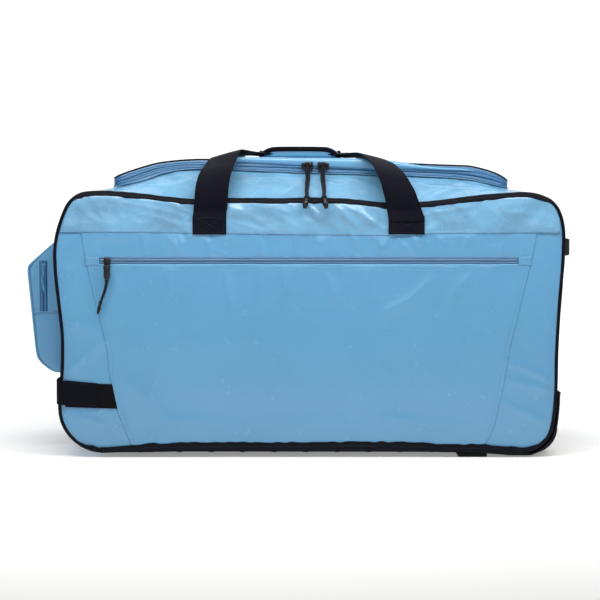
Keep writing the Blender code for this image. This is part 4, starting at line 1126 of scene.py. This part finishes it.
make("end_pocket_cloth", *sheet_of(pocket_surface(120), 0.0012), CLOTH_SHEET, replaces=["end_pocket"])
for side, label in SIDES:
    x, z = through(POCKET_LINE, 160)[3:-3].T
    rod(f"end_pocket_{label}_welt", line_of(x, side * (POCKET_HALF - 0.001), z), 0.0015, 8, CLOTH_BACK)
    inset = line_of(x * 0.985 - 0.0056, side * (POCKET_HALF + 0.0003), z * 0.985 + 0.0034)
    sewn(f"end_pocket_{label}_stitching", inset, (0, side, 0))
wall_y = -POCKET_HALF - 0.0016
seam = line_of(np.linspace(-0.4145, -0.37, 30), wall_y - 0.0006, 0.2165)
rod("end_pocket_seam", seam, 0.001, 6, CLOTH_BACK)
sewn("end_pocket_seam_stitching", seam - [0, 0, 0.003], (0, -1, 0))
low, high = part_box("end_pocket_zip")
zip_x, zip_ends = (low.x + high.x) / 2, (low.z + 0.001, high.z - 0.001)
# The shade band is dark cloth behind the end zip: painted shade in its gap.
for name, start, stop, lifts, material, nodes in (
    ("shade", -0.0058, 0.0058, (0.0001, 0.0003, 0.0001), TAPE_GAP_SHADE, ["end_pocket_zip"]),
    ("tape_left", -0.0047, -0.0007, (0.0004, 0.001, 0.0011, 0.0005), TAPE, []),
    ("tape_right", 0.0007, 0.0047, (0.0004, 0.001, 0.0011, 0.0005), TAPE, []),
):
    columns = zip(np.linspace(start, stop, len(lifts)), lifts)
    rows = [line_of(zip_x + a, wall_y - lift, np.linspace(*zip_ends, 60)) for a, lift in columns]
    grown(f"end_zip_{name}", *sheet_of(np.stack(rows), 0.0004), material, replaces=nodes)
teeth = 0.00045 * (1 + 0.3 * np.sin(np.arange(300) * TEETH))
rod("end_zip_coil", line_of(zip_x, wall_y - 0.0008, np.linspace(*zip_ends, 300)), teeth, 6, COIL)
low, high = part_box("end_pocket_slider")
at = ((low.x + high.x) / 2, low.y + 0.0022, (low.z + high.z) / 2)
parts = slider_parts(at, 0.0095, 0.0085, 0.004, (0, 1))
grown("end_slider_metal", *parts, COATED_METAL, body="end_pocket_slider_body", replaces=["end_pocket_slider"])
way = [(at[0], -0.1331, at[2] - 0.001), (at[0] + 0.0006, -0.1333, at[2] - 0.01),
       (at[0] - 0.0008, -0.1333, at[2] - 0.02), (at[0] + 0.0003, -0.1331, at[2] - 0.0275)]
pull("end_pull", "end_pocket_pull_body", "end_pocket_pull", way, 0.00085, CORD_BLUE, COATED_METAL)


# ---- webbing ------------------------------------------------------------------------
def strap_of(centre, across, width, thickness=STRAP_THICK, cup=0.0, columns=12):
    """Points, faces and UVs in metres of webbing along a centreline. across is its width's direction."""
    centre = np.asarray(centre, float)
    across = unit(np.broadcast_to(np.asarray(across, float), centre.shape))
    width = np.broadcast_to(np.asarray(width, float), (len(centre),))
    cup = np.broadcast_to(np.asarray(cup, float), (len(centre),))
    ahead = unit(np.gradient(centre, axis=0))
    normal = unit(np.cross(across, ahead))
    u = edged(-0.5, 0.5, columns, 0.018)
    grid = centre[:, None] + across[:, None] * (u[None, :] * width[:, None])[..., None]
    lift = cup[:, None] * (1 - (2 * u[None, :]) ** 2) - thickness * 0.3 * (np.abs(u) > 0.499)[None, :]
    grid = grid + normal[:, None] * lift[..., None]
    points, faces = sheet_of(grid, thickness)
    run = run_of(centre)
    uv = np.stack(np.broadcast_arrays(run[:, None], u[None, :] * width[:, None]), -1).reshape(-1, 2)
    return points, faces, np.vstack([uv, uv])


def strap(name, centre, across, width, material, body=SHELL, replaces=(), **shape):
    points, faces, uv = strap_of(centre, across, width, **shape)
    return make(name, points, faces, material, body, replaces, uv=uv)


# Strap round the low left end, and the hook patch that its front end closes on.
STRAP_TILT = -0.09  # how far its front end leans, as height over length
mid = sum(corner.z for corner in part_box("end_strap")) / 2
front_x = np.linspace(-0.311, -0.356, 26)
face = on_face(-1, front_x, mid + STRAP_TILT * (front_x + 0.371), 0.0036)
face[:, 1] += np.linspace(0.0009, 0.0, 26)
turn = [(-0.3665, -0.1842, mid), (-0.3722, -0.1812, mid), (-0.3746, -0.173, mid)]
back = [(end_x(-1, y, mid) - 0.0034, y, mid) for y in (-0.155, -0.12, -0.08, -0.04, 0.0)]
half = np.vstack([face, turn, back])
rear = (half[:-1] * [1, -1, 1])[::-1]
rear[-26:, 1] = on_face(1, front_x, mid, 0.0036)[::-1][:, 1]
way = through(np.vstack([half[::3], half[-1:], rear[::3]]), 230)
strap("end_strap_webbing", way, (0, 0, 1), 0.0372, WEBBING_BLACK, replaces=["end_strap"])
V, U = np.meshgrid(edged(0, 1, 14, 0.03), edged(0, 1, 24, 0.02), indexing="ij")
z = 0.0765 + (0.1135 - 0.0765) * V
x = -0.36 + (left_seam(z) + 0.0012 + 0.36) * U
make("strap_hook_patch", *hemmed(-1, x, z + (x + 0.36) * -0.03, 0.0022, thick=0.0012), HOOK)
x = np.linspace(-0.313, -0.356, 40)
for name, offset in (("strap_stitching_high", 0.0155), ("strap_stitching_low", -0.0155)):
    line = on_face(-1, x, mid + offset + STRAP_TILT * (x + 0.371), 0.0038)
    sewn(name, line, (0, -1, 0), THREAD_BLACK)

# Grab handle on the right end.
z = sum(corner.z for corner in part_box("right_grab_handle")) / 2
half = [(end_x(1, y, z) + 0.0018, y) for y in (-0.118, -0.106, -0.094, -0.082)]
half += [(0.399, -0.07), (0.4085, -0.055), (0.4165, -0.036), (0.4192, -0.015)]
way = [(x, y, z) for x, y in half] + [(x, -y, z) for x, y in half[::-1]]
strap("grab_handle_webbing", through(way, 150), (0, 0, 1), 0.026, WEBBING, replaces=["right_grab_handle"])
for side, label in SIDES:
    for k, y in enumerate((0.115, 0.088)):
        line = line_of(end_x(1, side * y, z) + 0.0022, side * y, np.linspace(z - 0.0105, z + 0.0105, 12))
        sewn(f"grab_{label}_bar_{k}", line, (1, 0, 0), THREAD_BLACK)


# ---- carry handles ------------------------------------------------------------------
LEG_AXIS_Y = 0.1816  # where the lowest bend of a handle is, out from the middle plane
# World X, Y, Z along a front strap, how far it turns towards the front and tips in degrees, and its width.
STRAP_UNITS = (1e4, 1e4, 1e4, 1, 1, 1e4)
STRAP_WAYS = {
    "left": np.array([
        (-1420, 1824, 3560, 0, 0, 500), (-1417, 1828, 3640, 0, 0, 500), (-1408, 1852, 3720, 0, 0, 500),
        (-1392, 1906, 3850, 0, 0, 500), (-1384, 1938, 3980, 2, 0, 500), (-1372, 1934, 4110, 5, 1, 500),
        (-1345, 1886, 4240, 8, 3, 500), (-1309, 1796, 4345, 11, 6, 505), (-1278, 1690, 4418, 13, 9, 510),
        (-1248, 1570, 4490, 15, 12, 510), (-1214, 1430, 4560, 18, 14, 510),
        (-1172, 1250, 4590, 22, 14, 490), (-1100, 1000, 4598, 26, 13, 450),
        (-985, 700, 4604, 32, 11, 380), (-845, 400, 4606, 40, 8, 300), (-735, 210, 4604, 48, 5, 230),
        (-610, 120, 4600, 56, 3, 180), (-420, 90, 4600, 60, 2, 170),
    ]) / STRAP_UNITS,
    "right": np.array([
        (1528, 1824, 3560, 0, 0, 535), (1514, 1828, 3640, 0, 0, 535), (1494, 1852, 3720, 0, 0, 520),
        (1464, 1906, 3850, 3, 1, 500), (1421, 1938, 3980, 8, 3, 500), (1370, 1934, 4110, 13, 5, 490),
        (1313, 1886, 4240, 17, 7, 480), (1262, 1796, 4335, 19, 9, 480), (1215, 1690, 4398, 20, 11, 480),
        (1166, 1570, 4450, 20, 12, 490), (1112, 1430, 4502, 21, 13, 500),
        (1050, 1250, 4540, 23, 13, 480), (970, 1000, 4562, 27, 12, 440), (862, 700, 4576, 33, 10, 370),
        (735, 400, 4582, 41, 7, 300), (630, 210, 4584, 49, 5, 230), (500, 120, 4590, 56, 3, 180),
        (310, 90, 4596, 60, 2, 170),
    ]) / STRAP_UNITS,
}


def carry_handle(label, side):
    """One U of webbing in runs: each is cut where a joint of the part bends it."""
    for place_name, sign in (("left", -1), ("right", 1)):
        x = HANDLE_X + sign * LEG_SPREAD
        low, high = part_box(f"{label}_strap_foot_{place_name}")
        zs = np.linspace(low.z, 0.364, 16)
        way = STRAP_WAYS[place_name]
        foot = on_face(side, way[0, 0], zs, 0.0052)
        foot[:, 1] = np.linspace(foot[0, 1], foot[-1, 1], 16)
        strap(f"{label}_foot_{place_name}_webbing", foot, (1, 0, 0), way[0, 5] + 0.0004, WEBBING,
              replaces=[f"{label}_strap_foot_{place_name}"], thickness=0.003)
        fy = foot[:, 1].mean() + side * 0.0004
        ring = [(x + a, z) for a, z in
                ((-0.021, low.z + 0.003), (0.021, low.z + 0.003), (0.021, 0.3615), (-0.021, 0.3615))]
        runs = [(ring[n], ring[(n + 1) % 4]) for n in range(4)] + [(ring[0], ring[2]), (ring[1], ring[3])]
        parts = []
        for (x0, z0), (x1, z1) in runs:
            height = np.linspace(z0, z1, 12)
            line = line_of(np.linspace(x0, x1, 12), np.interp(height, zs, foot[:, 1]) + side * 0.0003, height)
            parts.append(stitches(line, (0, side, 0)))
        grown(f"{label}_foot_{place_name}_box_stitch", *joined(parts), THREAD_BLACK)

        # The angles go through the smoothing scaled down, so that they hardly count as length.
        line = through(np.column_stack([way[:, :3], way[:, 3:] * [0.001, 0.001, 1]]), 150)
        line[:, 1] = np.where(line[:, 2] < 0.372, np.maximum(line[:, 1], abs(fy) + 0.0004), line[:, 1])
        yaw, tip, width = np.radians(1000 * line[:, 3]), np.radians(1000 * line[:, 4]), line[:, 5]
        across = np.stack([np.cos(yaw), -sign * side * np.sin(yaw), -sign * np.sin(tip)], 1)
        centre = line[:, :3] * [1, side, 1]
        run = run_of(centre)
        cup = 0.0009 * np.sin(run * 52 + sign) + 0.003 * ramp(0.6, 0.9, run / run[-1])
        centre[:, 0] += 0.0007 * noise(run * 38, sign * 3.0, 91)
        out = np.abs(centre[:, 1])
        bends = [0, np.argmin(np.abs(centre[:, 2] - 0.405)),
                 np.argmin(np.abs(out - 0.169) + 9 * (centre[:, 2] < 0.43)),
                 np.argmin(np.abs(out - 0.13)), 149]
        legs, shoulders, handle = f"{label}_legs", f"{label}_shoulders", f"{label}_handle"
        x1, x2 = centre[bends[2], 0], centre[bends[3], 0]
        for n, (part, nodes, moves) in enumerate((
            ("leg_lower", [f"{label}_strap_leg_{place_name}"],
             (SHELL, legs, (x, side * LEG_AXIS_Y, 0.356), (x, side * LEG_AXIS_Y, 0.38))),
            ("leg_upper", [], (legs, shoulders, (x1, side * 0.178, 0.433), (x1, side * 0.16, 0.45))),
            ("shoulder", [f"{label}_strap_shoulder_{place_name}"],
             (shoulders, handle, (x2, side * 0.158, 0.458), (x2, side * 0.138, 0.458))),
            ("top", [f"{label}_handle_top"], None),
        )):
            a, b = bends[n], bends[n + 1]
            at = np.concatenate([[a, a + 0.15], np.arange(a + 1, b), [b - 0.15, b]])
            pick = lambda rows: np.stack([np.interp(at, np.arange(150), c) for c in np.atleast_2d(rows.T)], 1)
            piece = strap(f"{label}_{part}_{place_name}", pick(centre), pick(across), pick(width)[:, 0],
                          WEBBING, None if moves else handle, nodes, cup=pick(cup)[:, 0])
            if moves:
                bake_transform(piece)
    # The folded middle of the handle, which the padded wrap covers at rest.
    ends = [STRAP_WAYS[place_name][-1, :3] * [1, side, 1] for place_name in ("left", "right")]
    middle = ends[0] + (ends[1] - ends[0]) * np.linspace(-0.03, 1.03, 24)[:, None]
    strap(f"{label}_handle_middle", middle, (0, side, 0), 0.0172, WEBBING, f"{label}_handle", cup=0.003)


wrap_x, half_x = -0.0065, 0.06
carry_handle("front", -1)
carry_handle("rear", 1)

# ---- padded wrap that holds the two handles together --------------------------------
def wrap_ring(share, steps=64):
    """One cross-section of the wrap, share from -1 to 1 along it."""
    turn = turns(steps)
    pinch = ramp(0.7, 1.0, abs(share))
    wide, tall = 0.0178 - 0.0045 * pinch, 0.0096 - 0.0034 * pinch
    power = 0.72
    y = wide * np.sign(np.cos(turn)) * np.abs(np.cos(turn)) ** power
    z = tall * np.sign(np.sin(turn)) * np.abs(np.sin(turn)) ** power
    return line_of(wrap_x + half_x * share, y, 0.4614 - 0.003 * pinch + z)


shares = np.concatenate([np.linspace(-1, -0.72, 10), np.linspace(-0.68, 0.68, 44), np.linspace(0.72, 1, 10)])
rings = np.stack([wrap_ring(s) for s in shares])
points = rings.reshape(-1, 3)
faces = [tuple(f) for f in quads(len(shares), 64, wrap=True)]
faces += [tuple(range(63, -1, -1)), tuple((len(shares) - 1) * 64 + n for n in range(64))]
wrap = grown("handle_wrap_pad", points, faces, CLOTH_SHEET, body=None, replaces=["handle_wrap"])


def puffed(piece, voxel, pressure, most, frames=20):
    """Fills a closed piece with air as cloth, for a padded look, and keeps every point within a distance."""
    bpy.context.view_layer.objects.active = piece
    mesher = piece.modifiers.new("voxels", "REMESH")
    mesher.mode = "VOXEL"
    mesher.voxel_size = voxel
    bpy.ops.object.modifier_apply(modifier="voxels")
    rest = np.array([v.co for v in piece.data.vertices])
    cloth = piece.modifiers.new("cloth", "CLOTH")
    cloth.settings.use_pressure = True
    cloth.settings.uniform_pressure_force = pressure
    cloth.settings.effector_weights.gravity = 0
    cloth.settings.quality = 5
    cloth.settings.shrink_min = -0.04
    cloth.point_cache.frame_start, cloth.point_cache.frame_end = 1, frames
    for frame_number in range(1, frames + 1):
        bpy.context.scene.frame_set(frame_number)
    graph = bpy.context.evaluated_depsgraph_get()
    moved = np.array([v.co for v in piece.evaluated_get(graph).data.vertices])
    piece.modifiers.remove(cloth)
    step = moved - rest
    length = np.linalg.norm(step, axis=1, keepdims=True)
    step *= np.minimum(1, most / np.maximum(length, 1e-9))
    piece.data.vertices.foreach_set("co", (rest + step).astype(np.float32).ravel())
    smooth = piece.modifiers.new("smooth", "SUBSURF")
    smooth.levels = smooth.render_levels = 1
    bpy.ops.object.modifier_apply(modifier="smooth")
    piece.data.polygons.foreach_set("use_smooth", [True] * len(piece.data.polygons))
    bpy.context.scene.frame_set(1)


puffed(wrap, 0.0028, 3.0, 0.0022)
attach(wrap, "front_handle")
ends = []
for share in (-1.03, 1.03):
    ring = wrap_ring(share, 48)
    ring = (ring - ring.mean(0)) * [1, 0.8, 0.72] + ring.mean(0)
    ends.append(tube_of(ring, 0.0034, 8, closed=True))
grown("wrap_end_bindings", *joined(ends), WEBBING_BLACK, body="front_handle")
edge = tenths([
    (-620, -125, 4570), (-585, -140, 4605), (-530, -158, 4640), (-460, -166, 4665), (-350, -168, 4676),
    (0, -168, 4678), (350, -168, 4674), (460, -166, 4656), (530, -158, 4625), (590, -140, 4580),
    (630, -125, 4545),
])
edge = through(edge + [wrap_x, 0, 0], 90)
strap("wrap_edge_binding", edge, (0, 0.38, 0.92), 0.008, WEBBING_BLACK, "front_handle",
      thickness=0.003, cup=0.0012)
sewn("wrap_stitching", edge + [0, -0.0016, -0.0056], (0, -1, 0.3), THREAD_BLACK, body="front_handle")


# ---- base, wheels and trolley handle ------------------------------------------------
FINISHES = {
    "front_wheel_housing rear_wheel_housing trolley_bezel": MOULDED,
    "trolley_grip front_hub rear_hub": SATIN,
    "front_tyre rear_tyre": RUBBER,
    "base_board": BOARD,
    "front_axle rear_axle": STEEL,
    "trolley_outer_tube_front trolley_outer_tube_rear": ALUMINIUM,
    "trolley_inner_tube_front trolley_inner_tube_rear": ALUMINIUM,
    "release_button": GUNMETAL,
}
for names, material in FINISHES.items():
    for name in names.split():
        NODES[name].data.materials.clear()
        NODES[name].data.materials.append(material)

# Black cloth that turns from under each face onto the base. LOWEST is how low it comes along X.
LOWEST = tenths([(-3100, 66), (-2800, 78), (-2000, 86), (1400, 82), (2400, 78), (3000, 46), (3400, 46)])
for side, label in SIDES:
    x, z = rim_run((-0.308, 0.0098), (0.34, 0.0098), 260).T
    rows = []
    for y, drop in tenths([(1800, -6), (1806, 12), (1800, 32), (1775, 46), (1720, 50)]):
        rows.append(line_of(x, side * y, np.maximum(z - drop * 2.2, np.interp(x, *LOWEST.T))))
    grid = np.stack(rows)
    grown(f"base_{label}_binding", *sheet_of(grid if side > 0 else grid[:, ::-1], 0.001), PIPING)

# Rubber feet across the base: a ribbed bar under each end.
for label, reach in (("left", 0.13), ("right", 0.1775)):
    low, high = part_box(f"{label}_foot_bar")
    parts = [box_of((low.x, -reach, low.z + 0.0002), (high.x, reach, high.z + 0.003), 0.0022, 3)]
    for n in range(5):
        rib_x = low.x + 0.0065 + n * (high.x - low.x - 0.013) / 4
        rib = (rib_x - 0.0016, 0.002 - reach, low.z), (rib_x + 0.0016, reach - 0.002, low.z + 0.0012)
        parts.append(box_of(*rib, 0.0005))
    grown(f"{label}_foot_rubber", *joined(parts), RUBBER, replaces=[f"{label}_foot_bar"])

# Ribs, screws and the guard's lip on the moulded base.
ribs = [-0.19 + n * 0.048 for n in range(9)]
parts = [box_of((x - 0.004, -0.15, 0.0034), (x + 0.004, 0.15, 0.006), 0.001)
         for x in ribs if abs(x - 0.244 - MIDDLE_X) >= 0.04]
grown("base_ribs", *joined(parts), MOULDED)
turn = turns(20)
parts = [tube_of(line_of(x + 0.0042 * np.cos(turn), y + 0.0042 * np.sin(turn), 0.0004), 0.0008, 6, True)
         for x in (-0.252, 0.254) for y in (-0.125, 0.0, 0.125)]
grown("foot_screw_rims", *joined(parts), GUNMETAL)

guard = rim_run((-0.305, 0.0098), (0.3788, 0.098), 260)
ahead = unit(np.gradient(guard, axis=0))
out = np.stack([ahead[:, 1], -ahead[:, 0]], 1)
stand = np.interp(np.arange(260), [0, 170, 205, 232, 259], [0.0028, 0.0036, 0.0078, 0.01, 0.008])
guard = guard + out * stand[:, None]
guard[:, 1] = np.maximum(guard[:, 1], 0.0042 - 0.0022 * ramp(0.285, 0.315, guard[:, 0]))
across = np.concatenate([edged(-0.1722, -0.153, 8, 0.0012), edged(-0.1165, 0.1165, 50, 0.0012),
                         edged(0.153, 0.1722, 8, 0.0012)])
grid = np.stack([line_of(guard[:, 0], y, guard[:, 1]) for y in across])
points = grid.reshape(-1, 3)
faces = quads(*grid.shape[:2])
middle = points[faces].mean(1)
slot = (np.abs(np.abs(middle[:, 1]) - 0.135) < 0.018) & (middle[:, 0] > 0.2945) & (middle[:, 2] < 0.088)
tray = grown("base_tray_shell", points, faces[~slot], MOULDED, replaces=["base_tray"])
thick = tray.modifiers.new("thickness", "SOLIDIFY")
thick.thickness = 0.0028
thick.offset = -1
lip_x, lip_z = guard[-1]
lip = line_of(lip_x - 0.0012, np.linspace(-0.1715, 0.1715, 120), lip_z)
rod("guard_lip", lip, 0.0022, 10, MOULDED)
dome, spin, parts = np.linspace(0, math.pi / 2, 7)[::-1], turns(16), []
for y0 in (-0.105, -0.055, 0.055, 0.105):
    rings = []
    for a in dome:
        reach = max(0.0042 * math.sin(a), 1e-5)
        out = lip_x - 0.0002 + 0.0018 * math.cos(a)
        rings.append(line_of(out, y0 + reach * np.cos(spin), 0.0885 + reach * np.sin(spin)))
    parts.append((np.vstack(rings), quads(len(rings), 16, wrap=True)))
grown("guard_rivets", *joined(parts), GUNMETAL)

low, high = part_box("trolley_grip")
parts = []
for n in (0, 1, 2, 3, 9, 10, 11, 12):  # none near the button
    y0 = -0.066 + n * 0.011
    ring = np.array([(low.x + 0.003, y0, low.z + 0.0004), (low.x + 0.0004, y0, low.z + 0.004),
                     (low.x + 0.0002, y0, (low.z + high.z) / 2), (low.x + 0.0004, y0, high.z - 0.004),
                     (low.x + 0.003, y0, high.z - 0.0004)])
    parts.append(tube_of(through(ring, 16), 0.0011, 6))
grown("grip_ribs", *joined(parts), SATIN, body="trolley")
low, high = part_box("trolley_bezel")
frame_line = [(low.x + 0.0008, y, z) for y, z in (
    (low.y + 0.004, low.z + 0.0012), (high.y - 0.004, low.z + 0.0012), (high.y - 0.0012, low.z + 0.004),
    (high.y - 0.0012, high.z - 0.004), (high.y - 0.004, high.z - 0.0012), (low.y + 0.004, high.z - 0.0012),
    (low.y + 0.0012, high.z - 0.004), (low.y + 0.0012, low.z + 0.004))]
rod("bezel_rim", frame_line, 0.0017, 8, MOULDED, closed=True)

for side, label in SIDES:
    body = f"{label}_wheel"
    low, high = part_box(f"{label}_tyre")
    cx, cy, cz = (low.x + high.x) / 2, (low.y + high.y) / 2, (low.z + high.z) / 2
    parts = []
    for off in (-0.0065, 0.0, 0.0065):
        turn = turns(72)
        radius = 0.04 - 0.004 * (1 - math.sqrt(1 - min(1, (off / 0.012) ** 2))) - 0.0004
        ring = line_of(cx + radius * np.cos(turn), cy + off, cz + radius * np.sin(turn))
        parts.append(tube_of(ring, 0.00055, 6, closed=True))
    grown(f"{label}_tyre_grooves", *joined(parts), RUBBER, body=body)
    parts = []
    for k in range(6):
        a = k * math.pi / 3
        for face in (-1, 1):
            out = np.linspace(0.0105, 0.0265, 8)
            spoke = line_of(cx + out * math.cos(a), cy + face * 0.0055, cz + out * math.sin(a))
            parts.append(tube_of(spoke, 0.0019, 8, flat=0.8))
    grown(f"{label}_hub_spokes", *joined(parts), SATIN, body=body)


# ---- studio and camera --------------------------------------------------------------
scene = bpy.context.scene
scene.view_settings.view_transform = "Standard"
scene.view_settings.look = "None"

shader = FLOOR.node_tree.nodes["Principled BSDF"]
shader.inputs["Base Color"].default_value = (0.8, 0.8, 0.8, 1)
shader.inputs["Emission Color"].default_value = (1, 1, 1, 1)
shader.inputs["Emission Strength"].default_value = 0.27
shader.inputs["Roughness"].default_value = 0.9
shader.inputs["Specular IOR Level"].default_value = 0.1
sweep = through([(-6, 0), (-2, 0), (1.2, 0), (2.6, 0.02), (3.6, 0.35), (4.3, 1.2), (4.6, 2.6), (4.7, 5)], 60)
wide = np.linspace(-7, 7, 15)
grid = np.array([[(x, y, max(z, 0)) for x in wide] for y, z in sweep])
mesh = bpy.data.meshes.new("floor")
mesh.from_pydata(grid.reshape(-1, 3).tolist(), [], quads(60, 15).tolist())
mesh.polygons.foreach_set("use_smooth", [True] * len(mesh.polygons))
mesh.materials.append(FLOOR)
floor = bpy.data.objects.new("floor", mesh)
scene.collection.objects.link(floor)

world = bpy.data.worlds.new("studio") if scene.world is None else scene.world
scene.world = world
world.use_nodes = True
background = world.node_tree.nodes["Background"]
background.inputs["Color"].default_value = (1, 1, 1, 1)
background.inputs["Strength"].default_value = 0.1


def softbox(name, at, target, size, power, colour=(1, 1, 1)):
    """A rectangular lamp that faces its target."""
    light = bpy.data.lights.new(name, "AREA")
    light.shape = "RECTANGLE"
    light.size, light.size_y = size
    light.energy = power
    light.color = colour
    lamp = bpy.data.objects.new(name, light)
    lamp.location = at
    lamp.rotation_euler = (Vector(target) - Vector(at)).to_track_quat("-Z", "Y").to_euler()
    scene.collection.objects.link(lamp)


softbox("strip", (0.05, -0.62, 0.95), (0, -0.17, 0.34), (1.7, 0.2), 13.5, (1.0, 0.98, 0.94))
softbox("front", (0.1, -2.9, 1.1), (0, -0.15, 0.34), (1.9, 0.36), 8, (1.0, 0.97, 0.91))
softbox("top", (0, 0.25, 1.9), (0, 0, 0.3), (1.6, 0.8), 8, (1.0, 0.99, 0.96))
softbox("front_left", (-2.2, -1.6, 0.9), (0, 0, 0.22), (0.45, 1.3), 4)
softbox("front_right", (2.2, -1.8, 0.9), (0, 0, 0.22), (0.45, 1.3), 4)
softbox("backdrop", (0, 1.6, 2.6), (0, 3.4, 0.4), (4.5, 1.4), 105)

CAMERA_TARGET = Vector((-0.0065, -0.18, 0.238))
CAMERA_DISTANCE = 2.6
lens = bpy.data.cameras.new("camera")
lens.sensor_width = 36
lens.lens = 104
view = bpy.data.objects.new("camera", lens)
tilt = math.radians(3.5)  # the camera looks down a little
view.location = CAMERA_TARGET + Vector((0, -math.cos(tilt), math.sin(tilt))) * CAMERA_DISTANCE
view.rotation_euler = (math.pi / 2 - tilt, 0, 0)
scene.collection.objects.link(view)
scene.camera = view
